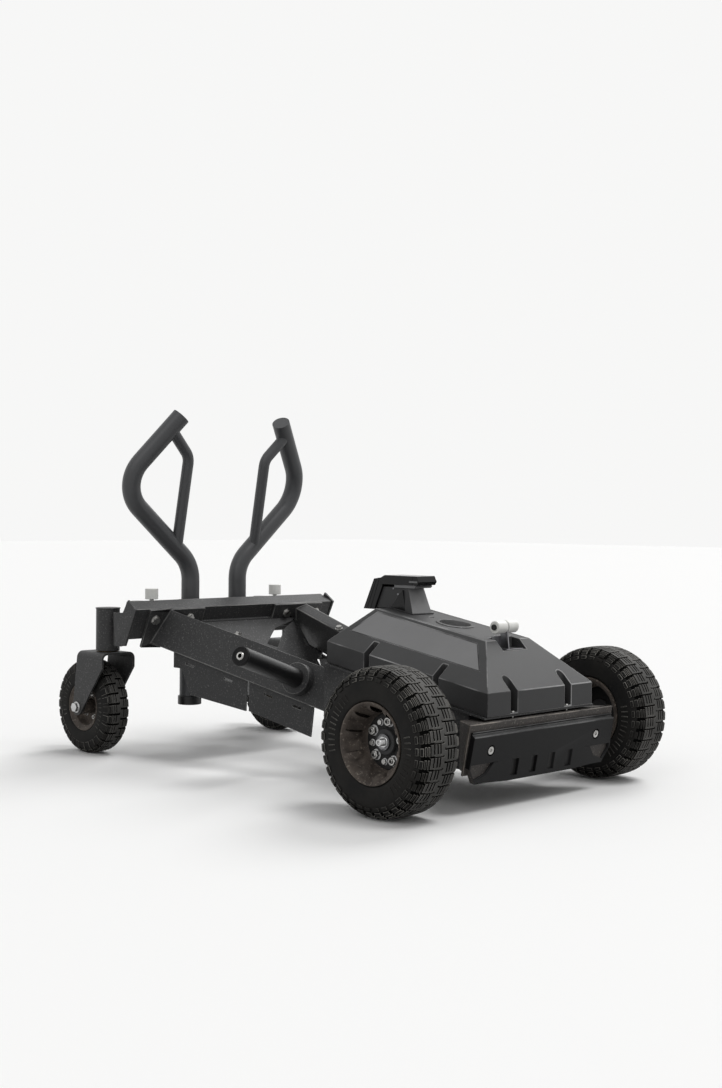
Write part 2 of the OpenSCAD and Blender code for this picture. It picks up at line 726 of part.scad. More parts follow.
module drive_belt() {
    color("#151515") at_front() translate([0, belt_y + belt_w / 2, front_tyre_r]) rotate([90, 0, 0])
        linear_extrude(belt_w) difference() {
            polygon(belt_outline(seat_gap + belt_t));
            polygon(belt_outline(seat_gap));
        }
}

module carriage_bracket() {
    color("DimGray") at_front() {
        for (y = [rotor_y - 22, rotor_y + 16])
            slab([[bulkhead_x + plate_t + seat_gap, 176], [-168, 180], [-168, 200],
                [bulkhead_x + plate_t + seat_gap, 204]], y, y + arm_t);
        cross_rod(pivot_pos, pivot_r, rotor_y - 22, rotor_y + 22);
    }
}

function arm_low(s) = s * (rotor_t / 2 + magnet_gap + magnet_t + arm_t / 2);

module magnet_carriage() {
    color("SteelBlue") at_front() difference() {
        union() {
            cross_rod(pivot_pos, 9, rotor_y - 13, rotor_y + 13);
            for (s = [-1, 1]) slab([[-187, 190], [-169, 190], [-140, 262], [-152, 290], [-174, 290], [-187, 262]],
                rotor_y + arm_low(s) - arm_t / 2, rotor_y + arm_low(s) + arm_t / 2);
        }
        cross_rod(pivot_pos, pivot_r + run_gap, -far_off, far_off);
    }
}

module brake_magnets() {
    near = rotor_t / 2 + magnet_gap;
    color("Silver") at_front() for (p = [[-158, 0, 252], [-163, 0, 277]]) {
        cross_rod(p, 10, rotor_y + near, rotor_y + near + magnet_t);
        cross_rod(p, 10, rotor_y - near - magnet_t, rotor_y - near);
    }
}

module control_cable() {
    color("#151515") at_front() {
        rod_between([-230, 0, 330], [-230, 0, plateau_z(-230) - 1], cable_r);
        translate([-230, 0, 330]) sphere(r = cable_r + 0.2);
        rod_between([-230, 0, 330], [-201, -57, 285], cable_r);
        translate([-207, -64, 278]) cube([11.7, 14, 14]);
    }
}

module tube_caps() {
    color("#1a1a1a") both_sides() at_rear() {
        translate([post_pos[0], post_pos[1], 330]) cylinder(r = 12.7, h = 80);
        translate([post_pos[0], post_pos[1], 393 + seat_gap]) cylinder(r = 19, h = 20);
    }
}

module pin_barrels() {
    color("Silver") both_sides() at_rear() translate([pin_pos[0], pin_pos[1], 0]) difference() {
        union() {
            translate([0, 0, 350]) cylinder(r = 13, h = 62);
            translate([0, 0, 393 + seat_gap]) cylinder(r = 17, h = 5, $fn = 6);
        }
        translate([0, 0, 354]) cylinder(r = 6 + run_gap, h = 80);
        translate([0, 0, 340]) cylinder(r = 4 + run_gap, h = 80);
    }
}

module left_pull_pin() {
    color("WhiteSmoke") at_rear() translate([pin_pos[0], pin_pos[1], 0]) {
        translate([0, 0, pin_pos[2] - 14.5]) cylinder(r = 18, h = 29);
        translate([0, 0, 354.5]) cylinder(r = 6, h = 70);
        translate([0, 0, 335]) cylinder(r = 4, h = 30);
    }
}

module right_pull_pin() { left_of() left_pull_pin(); }

function handle_path(low) = [[handle_x, handle_y, low], [handle_x, handle_y, 514],
    [handle_x - 2.7, 330, 729.8], [-996.5, 182, grip_z]];

module left_push_handle() {
    path = handle_path(foot_top + seat_gap);
    brace = [[-1066, 141, 562], [-1016.8, 139, 813.7], [-1006, 200, 877 + (grip_z - 923.4)]];
    inner_end = path[3] - unit(path[3] - path[2]) * 4;
    color("Silver") at_rear() difference() {
        union() {
            bent_tube(path, bend_r, grip_r);
            bent_tube(brace, 45, 15.5);
            translate([handle_x, handle_y, foot_top + seat_gap])
                cylinder(r = lower_tube_r, h = sleeve_bottom - foot_top + 6);
            translate([handle_x, handle_y, collar_z + seat_gap]) cylinder(r = grip_r + 5, h = 12);
        }
        bent_tube([path[0] - [0, 0, 10], path[1], path[2], inner_end], bend_r, grip_r - grip_wall);
    }
}

module right_push_handle() { left_of() left_push_handle(); }

module left_handle_foot() {
    color("#1a1a1a") at_rear() translate([handle_x, handle_y, 0]) {
        translate([0, 0, foot_bottom]) cylinder(r = foot_r, h = foot_top - foot_bottom);
        translate([0, 0, foot_top - 1]) cylinder(r = grip_r - grip_wall - run_gap, h = 26);
    }
}

module right_handle_foot() { left_of() left_handle_foot(); }

// Wheel frame: z outboard, origin in the middle of the wheel.
module at_left_wheel() { at_front() translate([0, wheel_y, front_tyre_r]) rotate([-90, 0, 0]) children(); }

module left_front_rim() {
    w = front_tyre_w / 2 - 3.5;
    b = front_seat_r;
    l = front_lip_r;
    bore = axle_r + run_gap;
    color("#8a7a66") at_left_wheel() difference() {
        rotate_extrude($fn = 96) polygon([[bore, -8], [hub_r, -8], [hub_r, dish_z - dish_plate],
            [b - 9.2, dish_z - dish_plate],
            [b - 9.2, -18], [b - 3.2, -28], [b - 1.7, -w + 9], [l - 6.5, -w + 4], [l - 4.5, -w],
            [l, -w], [l, -w + 4], [b + 1.8, -w + 8], [b, -30], [b - 6.2, -20], [b - 6.2, 20],
            [b, 30], [b + 1.8, w - 8], [l, w - 4], [l, w], [l - 4.5, w], [l - 6.5, w - 4],
            [b - 1.7, w - 9], [b - 3.2, 28], [b - 9.2, 18], [b - 9.2, dish_z + 4], [b - 13, dish_z],
            [hub_r, dish_z], [hub_r - 1, dish_z + hub_h], [bore, dish_z + hub_h]]);
        for (i = [0:4]) rotate([0, 0, lug_turn + 72 * i]) translate([lug_pcd_r, 0, -20])
            cylinder(r = 6 + bolt_play, h = 60);
    }
}

module right_front_rim() { left_of() left_front_rim(); }

module tyre_ring(tyre_r, w, lip, seat, rim_w, groove_z) {
    s = rim_w - 8;
    crown = w * 0.62;
    edge = (tyre_r - lip) * 0.2;
    half = [[seat + 1.8, s - 8], [seat + 2.4, s - seat_gap], [lip + 0.7, rim_w - 4.6], [lip + 2.5, rim_w - 2],
        [lip + 10, w - 2], [(lip + tyre_r) / 2, w], [tyre_r - 1.8 * edge, w - 1], [tyre_r - 0.8 * edge, w - 4],
        [tyre_r - 2.5, crown + 2.4], [tyre_r - 4, crown + 1.8], [tyre_r - 4, crown + 0.8], [tyre_r, crown],
        [tyre_r, groove_z + 3],
        [tyre_r - groove_depth, groove_z + 2], [tyre_r - groove_depth, groove_z - 2], [tyre_r, groove_z - 3]];
    hollow = [[seat + 7, s - 12], [lip + 12, w - 9], [tyre_r - 2 * edge, w - 9], [tyre_r - groove_depth - 5, crown - 4]];
    up = [for (p = half) p];
    rotate_extrude($fn = 96) polygon(concat(
        up, [for (i = [len(up) - 1:-1:0]) [up[i][0], -up[i][1]]],
        [for (p = hollow) [p[0], -p[1]]], [for (i = [len(hollow) - 1:-1:0]) hollow[i]]));
}

// Grooves across the tread, staggered by half a pitch between the two sides.
module tread_cuts(tyre_r, count, z_low, z_high, width) {
    for (i = [0:count - 1]) for (s = [-1, 1])
        rotate([0, 0, (i + (s > 0 ? 0 : 0.5)) * 360 / count])
            translate([tyre_r - groove_depth + 0.8, -width / 2, s > 0 ? z_low : -z_high])
                cube([2 * groove_depth, width, z_high - z_low]);
}

module left_front_tyre() {
    color("#1b1b1b") at_left_wheel() difference() {
        tyre_ring(front_tyre_r, front_tyre_w / 2, front_lip_r, front_seat_r, front_tyre_w / 2 - 3.5, 15);
        tread_cuts(front_tyre_r, 36, 16, 72, 7);
    }
}

module right_front_tyre() { left_of() left_front_tyre(); }

module lug_nuts() {
    color("Silver") both_sides() at_left_wheel() {
        for (i = [0:4]) {
            rotate([0, 0, lug_turn + 72 * i]) translate([lug_pcd_r, 0, dish_z + seat_gap]) {
                cylinder(r = 11, h = nut_h, $fn = 6);
                translate([0, 0, -dish_plate - 9]) cylinder(r = 6, h = dish_plate + nut_h + 11);
            }
            rotate([0, 0, lug_turn + 36 + 72 * i]) translate([lug_pcd_r, 0, dish_z + seat_gap])
                cylinder(r = 7, h = 6, $fn = 6);
        }
        difference() {
            translate([0, 0, dish_z + hub_h + seat_gap]) cylinder(r = 18.4, h = hub_washer_h);
            cylinder(r = axle_r + run_gap, h = far_off);
        }
    }
}

module at_left_caster() { at_rear() translate([-measured_base, head_y, caster_tyre_r]) rotate([-90, 0, 0]) children(); }

// Front view of the bent fork plate: upright legs under a crown with round shoulders.
module fork_arch(half, top, bend) {
    translate([-half, 0]) square([2 * half, top - bend]);
    translate([bend - half, 0]) square([2 * (half - bend), top]);
    for (s = [-1, 1]) translate([s * (half - bend), top - bend]) circle(r = bend);
}

module left_fork() {
    leg = [[-1178, far_off], [-1178, 265], [-1197.5, caster_tyre_r - 10], [-1157, caster_tyre_r - 10],
        [-1062, 240], [-1058, far_off]];
    color("DimGray") {
        difference() {
            intersection() {
                at_rear() translate([-1300, head_y, 0]) rotate([90, 0, 90]) linear_extrude(400) difference() {
                    fork_arch(fork_half, crown_top, fork_bend);
                    fork_arch(fork_half - fork_plate, crown_top - fork_plate, fork_bend - fork_plate);
                }
                union() {
                    at_rear() slab(leg, head_y - fork_half, head_y + fork_half);
                    at_rear() cross_rod([-measured_base, 0, caster_tyre_r], 22, head_y - fork_half,
                        head_y + fork_half);
                }
            }
            at_rear() cross_rod([-measured_base, 0, caster_tyre_r], caster_axle_r + run_gap, 0, far_off);
        }
        at_rear() translate([head_x, head_y, crown_top - 1]) cylinder(r = stem_r, h = head_top - crown_top - 10);
    }
}

module right_fork() { left_of() left_fork(); }

module left_caster_axle() {
    color("Silver") at_left_caster() {
        cylinder(r = caster_axle_r, h = 2 * fork_half + 22, center = true);
        for (s = [0, 1]) mirror([0, 0, s]) {
            translate([0, 0, fork_half + seat_gap]) cylinder(r = 15, h = 2);
            translate([0, 0, fork_half + 2]) cylinder(r = 13, h = 9, $fn = 6);
            translate([0, 0, caster_tyre_w / 2 + 2]) cylinder(r = 12, h = fork_play - 2 - seat_gap);
        }
    }
}

module right_caster_axle() { left_of() left_caster_axle(); }

module left_caster_rim() {
    w = caster_tyre_w / 2 - 3;
    b = caster_seat_r;
    l = caster_lip_r;
    bore = caster_axle_r + run_gap;
    h = caster_tyre_w / 2 + 1.5;
    color("#8a7a66") at_left_caster() rotate_extrude($fn = 96) polygon([[bore, -h], [20, -h], [20, -4],
        [b - 7, -4], [b - 4, -w + 9], [l - 5, -w + 3], [l - 3, -w], [l, -w], [l, -w + 4], [b + 1.8, -w + 8],
        [b, -w + 20], [b, w - 20], [b + 1.8, w - 8], [l, w - 4], [l, w], [l - 3, w], [l - 5, w - 3],
        [b - 4, w - 9], [b - 7, 4], [20, 4], [20, h], [bore, h]]);
}

module right_caster_rim() { left_of() left_caster_rim(); }

module left_caster_tyre() {
    color("#1b1b1b") at_left_caster() difference() {
        tyre_ring(caster_tyre_r, caster_tyre_w / 2, caster_lip_r, caster_seat_r, caster_tyre_w / 2 - 3, 9);
        tread_cuts(caster_tyre_r, 30, 10, 44, 5);
    }
}

module right_caster_tyre() { left_of() left_caster_tyre(); }

cross_beam();
left_caster_head();
right_caster_head();
caster_bushes();
handle_sleeves();
left_side_beam();
right_side_beam();
beam_bolts();
rear_wall();
left_side_panels();
right_side_panels();
left_weight_horn();
right_weight_horn();
horn_sleeves();
horn_caps();
front_crossmember();
chassis_plates();
fascia();
fascia_screws();
hood();
hood_screws();
console();
console_screen();
cup_holder();
roller_bracket();
axle_bearings();
rotor_bearings();
drive_belt();
carriage_bracket();
control_cable();
tube_caps();
pin_barrels();
front_axle();
left_front_tyre();
right_front_tyre();
left_front_rim();
right_front_rim();
lug_nuts();
axle_pulley();
rotor_shaft();
brake_rotor();
magnet_carriage();
brake_magnets();
selector_lever();
left_fork();
right_fork();
left_caster_axle();
right_caster_axle();
left_caster_tyre();
right_caster_tyre();
left_caster_rim();
right_caster_rim();
left_pull_pin();
right_pull_pin();
left_push_handle();
right_push_handle();
left_handle_foot();
right_handle_foot();
left_strap_roller();
right_strap_roller();
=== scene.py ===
import json
import math
import bpy
from mathutils import Matrix, Vector

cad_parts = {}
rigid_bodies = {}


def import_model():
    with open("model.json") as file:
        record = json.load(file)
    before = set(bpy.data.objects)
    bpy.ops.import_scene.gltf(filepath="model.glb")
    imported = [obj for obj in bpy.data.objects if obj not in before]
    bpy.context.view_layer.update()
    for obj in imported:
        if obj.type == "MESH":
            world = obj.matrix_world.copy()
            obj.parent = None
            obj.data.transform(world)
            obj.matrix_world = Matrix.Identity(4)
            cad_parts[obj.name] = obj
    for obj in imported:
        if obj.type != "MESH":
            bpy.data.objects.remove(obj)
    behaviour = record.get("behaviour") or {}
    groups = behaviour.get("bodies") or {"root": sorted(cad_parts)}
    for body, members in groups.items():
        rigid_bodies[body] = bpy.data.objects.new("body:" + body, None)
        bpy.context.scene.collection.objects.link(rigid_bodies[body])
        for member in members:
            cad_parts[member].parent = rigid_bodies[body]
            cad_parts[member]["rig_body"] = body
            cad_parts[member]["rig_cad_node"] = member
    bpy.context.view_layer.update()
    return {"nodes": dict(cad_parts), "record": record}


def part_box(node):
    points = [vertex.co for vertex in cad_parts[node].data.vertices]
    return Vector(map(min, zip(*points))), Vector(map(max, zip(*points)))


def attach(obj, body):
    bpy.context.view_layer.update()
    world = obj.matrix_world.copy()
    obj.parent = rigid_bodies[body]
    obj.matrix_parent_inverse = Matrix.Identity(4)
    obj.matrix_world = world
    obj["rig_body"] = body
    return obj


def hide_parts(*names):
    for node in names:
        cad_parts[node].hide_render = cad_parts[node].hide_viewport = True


mm = 0.001
hands = (("left", 1), ("right", -1))
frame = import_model()
nodes = frame["nodes"]
homeOf = {n: body for body, members in frame["record"]["behaviour"]["bodies"].items() for n in members}
slotOf = {entry["node"]: entry["material_slot"] for entry in frame["record"]["subparts"]}
print("frame loaded,", len(nodes), "nodes")


def centreOf(node):
    low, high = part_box(node)
    return (Vector(low) + Vector(high)) / 2


axleAt = centreOf("front_axle")

# Camera, from the photograph's perspective
cameraSet = {
    "spot": (2.81568, -2.71603, 0.64889),
    "turn": 45.10, "pitch": 0.99, "roll": 0.52,
    "lens": 49.42, "sensor": 36.0, "clip": (0.05, 60),
}


def addCamera(s):
    a, e, r = (math.radians(s[k]) for k in ("turn", "pitch", "roll"))
    forward = Vector((-math.sin(a) * math.cos(e), math.cos(a) * math.cos(e), -math.sin(e)))
    right = Vector((math.cos(a), math.sin(a), 0))
    up = right.cross(forward)
    side = right * math.cos(r) + up * math.sin(r)
    top = up * math.cos(r) - right * math.sin(r)
    data = bpy.data.cameras.new("photoCamera")
    data.lens, data.sensor_width = s["lens"], s["sensor"]
    data.clip_start, data.clip_end = s["clip"]
    camera = addObject("photoCamera", data)
    turn = Matrix((side, top, -forward)).transposed().to_4x4()
    camera.matrix_world = Matrix.Translation(s["spot"]) @ turn
    bpy.context.scene.camera = camera


# Small tools for modelling with operators; distances are in metres
meshSet = {"sameSpot": 0.00001, "sameLine": 0.00002, "flat": math.radians(0.4)}


def toEdit():
    bpy.ops.object.mode_set(mode="EDIT")


def toObject():
    bpy.ops.object.mode_set(mode="OBJECT")


def selectAll():
    bpy.ops.mesh.select_all(action="SELECT")


def facesOut():
    bpy.ops.mesh.normals_make_consistent(inside=False)


def extrudeBy(step):
    bpy.ops.mesh.extrude_region_move(TRANSFORM_OT_translate={"value": step})


def selectMode(kind):
    bpy.context.tool_settings.mesh_select_mode = tuple(kind == k for k in ("vertex", "edge", "face"))


def deselectAll():
    if bpy.context.object and bpy.context.object.mode != "OBJECT":
        toObject()
    bpy.ops.object.select_all(action="DESELECT")


def editAll(obj):
    activate(obj)
    toEdit()
    selectAll()


def addObject(name, data=None):
    obj = bpy.data.objects.new(name, data)
    bpy.context.scene.collection.objects.link(obj)
    return obj


def named(obj, name):
    obj.name = obj.data.name = name
    return obj


def activate(obj):
    deselectAll()
    obj.select_set(True)
    bpy.context.view_layer.objects.active = obj


def applyMod(obj, kind, **settings):
    activate(obj)
    mod = obj.modifiers.new(kind.lower(), kind)
    for key, value in settings.items():
        setattr(mod, key, value)
    bpy.ops.object.modifier_apply(modifier=mod.name)


def drawLine(name, points):
    deselectAll()
    bpy.ops.mesh.primitive_plane_add(size=0.01, location=(0, 0, 0))
    obj = named(bpy.context.object, name)
    selectMode("vertex")
    toEdit()
    selectAll()
    bpy.ops.mesh.merge(type="CENTER")
    bpy.ops.transform.translate(value=points[0])
    for a, b in zip(points, points[1:]):
        extrudeBy(Vector(b) - Vector(a))
    return obj


def finishMesh():
    selectAll()
    bpy.ops.mesh.remove_doubles(threshold=meshSet["sameLine"])
    facesOut()
    toObject()


# Doubles merged and flat faces joined
def tidied(obj):
    editAll(obj)
    bpy.ops.mesh.remove_doubles(threshold=meshSet["sameSpot"])
    bpy.ops.mesh.dissolve_limited(angle_limit=meshSet["flat"])
    toObject()
    return obj


# An outline of (along the axle, radius) pairs in millimetres, turned about the Y axle at centre
def turned(name, outline, centre, steps=96, angle=2 * math.pi, start=0.0, side=1):
    out = Vector((math.sin(start), 0, math.cos(start)))
    middle = Vector(centre)
    obj = drawLine(name, [middle + out * (r * mm) + Vector((0, side * y * mm, 0)) for y, r in outline])
    selectAll()
    bpy.ops.mesh.spin(steps=steps, angle=angle, center=centre, axis=(0, 1, 0))
    finishMesh()
    return obj


# The outline on the other side of the middle
def otherHalf(outline):
    return [(-y, r) for y, r in reversed(outline)]


def offAxle(point, centre):
    return math.hypot(point.x - centre[0], point.z - centre[2])


def within(centre, radius):
    return lambda face, normal: offAxle(face, centre) < radius * mm


# At a radius and an angle round the axle, and so far along it
def onCircle(centre, radius, angle, out):
    a = math.radians(angle)
    return Vector(centre) + Vector((math.sin(a) * radius * mm, out * mm, math.cos(a) * radius * mm))


# Nothing of the piece stays selected before its vertices, edges or faces are picked one by one
def startPick(obj, kind):
    toObject()
    selectMode(kind)
    for group in (obj.data.vertices, obj.data.edges, obj.data.polygons):
        for item in group:
            item.select = False


def deleteFaces(obj, test):
    startPick(obj, "face")
    for poly in obj.data.polygons:
        poly.select = test(poly.center, poly.normal)
    toEdit()
    bpy.ops.mesh.delete(type="FACE")
    toObject()


def bevelPicked(obj, test, **settings):
    startPick(obj, "edge")
    points = obj.data.vertices
    for e in obj.data.edges:
        e.select = test(points[e.vertices[0]].co, points[e.vertices[1]].co)
    toEdit()
    bpy.ops.mesh.bevel(affect="EDGES", **settings)
    toObject()


# Copies of a piece round the Y axle at centre, a whole turn of them unless a step is given
def ringOf(obj, count, centre, merge=False, step=None):
    deselectAll()
    middle = Matrix.Translation(centre)
    empty = addObject("turnStep")
    empty.matrix_world = middle @ Matrix.Rotation(step or 2 * math.pi / count, 4, "Y") @ middle.inverted()
    bpy.context.view_layer.update()
    applyMod(obj, "ARRAY", count=count, use_relative_offset=False, use_object_offset=True, offset_object=empty,
             use_merge_vertices=merge, use_merge_vertices_cap=merge, merge_threshold=meshSet["sameLine"])
    bpy.data.objects.remove(empty)


# A new primitive keeps its place and size in its mesh
def placed(name):
    bpy.ops.object.transform_apply(location=True, rotation=True, scale=True)
    return named(bpy.context.object, name)


def joinInto(obj, *others):
    activate(obj)
    for o in others:
        o.select_set(True)
    bpy.ops.object.join()
    return obj


def joinedAs(name, pieces):
    return named(joinInto(*pieces), name)


# The same piece on the other side of the object, as its own mesh
def mirrored(obj, name):
    activate(obj)
    bpy.ops.object.duplicate()
    twin = named(bpy.context.object, name)
    editAll(twin)
    bpy.ops.transform.mirror(constraint_axis=(False, True, False), center_override=(0, 0, 0))
    bpy.ops.mesh.flip_normals()
    toObject()
    return twin


def cutWith(obj, cutter, operation="DIFFERENCE", keep=False):
    applyMod(obj, "BOOLEAN", operation=operation, object=cutter, solver="EXACT")
    if not keep:
        bpy.data.objects.remove(cutter)


def bevelEdges(obj, width, angle, segments=2, **more):
    applyMod(obj, "BEVEL", width=width, segments=segments, limit_method="ANGLE",
             angle_limit=math.radians(angle), **more)


# A closed plate between two copies of a flat outline, or of one that lies inside it by a gap
def plateOf(name, points, along, gap=0):
    obj = drawLine(name, points)
    selectAll()
    bpy.ops.mesh.edge_face_add()
    if gap:
        bpy.ops.mesh.select_mode(type="FACE")
        selectAll()
        bpy.ops.mesh.inset(thickness=gap, use_boundary=True, use_even_offset=True)
        bpy.ops.mesh.select_all(action="INVERT")
        bpy.ops.mesh.delete(type="FACE")
    selectAll()
    extrudeBy(along)
    finishMesh()
    return obj


def smooth(obj, under=30):
    activate(obj)
    bpy.ops.object.shade_smooth_by_angle(angle=math.radians(under))
    applyMod(obj, "WEIGHTED_NORMAL", keep_sharp=True)


# Floor, backdrop and light
studioSet = {
    "floorColour": (0.9, 0.9, 0.895), "floorUnseen": (0.3, 0.3, 0.3), "shownColour": (0.93, 0.93, 0.925),
    "floorSize": 60, "floorUnder": 0.0005, "floorRough": 0.85, "worldLevel": 0.4,
    "suns": [
        {"name": "keySun", "from": (0.6, 0.35, 1.5), "level": 1.08, "soft": 22},
        {"name": "rimSun", "from": (-0.14, 0.75, 0.68), "level": 1.15, "soft": 30},
        {"name": "fillSun", "from": (0.5, -1.3, 1.0), "level": 0.4, "soft": 40},
    ],
}


# Each input of a shader node takes a number, a colour or what another node puts out
def feed(tree, node, inputs):
    for name, value in inputs.items():
        if isinstance(value, bpy.types.NodeSocket):
            tree.links.new(value, node.inputs[name])
        else:
            node.inputs[name].default_value = value
    return node


def addNode(tree, kind, inputs):
    return feed(tree, tree.nodes.new("ShaderNode" + kind), inputs)


# One where the camera looks, or where a reflection or a clear piece shows the place
def isSeen(tree):
    paths = addNode(tree, "LightPath", {})
    seen = paths.outputs["Is Camera Ray"]
    for kind in ("Is Glossy Ray", "Is Transmission Ray"):
        more = addNode(tree, "Math", {0: seen, 1: paths.outputs[kind]})
        more.operation = "MAXIMUM"
        seen = more.outputs[0]
    return seen


def paleStage(name, s):
    mat = bpy.data.materials.new(name)
    mat.use_nodes = True
    tree = mat.node_tree
    mix = addNode(tree, "MixRGB", {
        "Fac": isSeen(tree), "Color1": (*s["floorUnseen"], 1), "Color2": (*s["floorColour"], 1)})
    feed(tree, tree.nodes["Principled BSDF"], {"Base Color": mix.outputs["Color"], "Roughness": s["floorRough"]})
    return mat


def addStudio(s):
    deselectAll()
    bpy.ops.mesh.primitive_plane_add(size=s["floorSize"], location=(0, 0, -s["floorUnder"]))
    floor = bpy.context.object
    floor.name = "studioFloor"
    floor.data.materials.append(paleStage("floorPale", s))
    world = bpy.data.worlds.new("studioWorld")
    bpy.context.scene.world = world
    world.use_nodes = True
    tree = world.node_tree
    tree.nodes.clear()
    lit = addNode(tree, "Background", {"Color": (1, 1, 1, 1), "Strength": s["worldLevel"]})
    shown = addNode(tree, "Background", {"Color": (*s["shownColour"], 1)})
    mix = addNode(tree, "MixShader", {"Fac": isSeen(tree), 1: lit.outputs[0], 2: shown.outputs[0]})
    addNode(tree, "OutputWorld", {"Surface": mix.outputs[0]})
    for sun in s["suns"]:
        data = bpy.data.lights.new(sun["name"], "SUN")
        data.energy, data.angle = sun["level"], math.radians(sun["soft"])
        obj = addObject(sun["name"], data)
        obj.rotation_euler = Vector(sun["from"]).to_track_quat("Z", "Y").to_euler()


addCamera(cameraSet)
addStudio(studioSet)
bpy.context.scene.view_settings.view_transform = "Standard"
print("camera and studio set")


def grey(level):
    return (level, level, level)


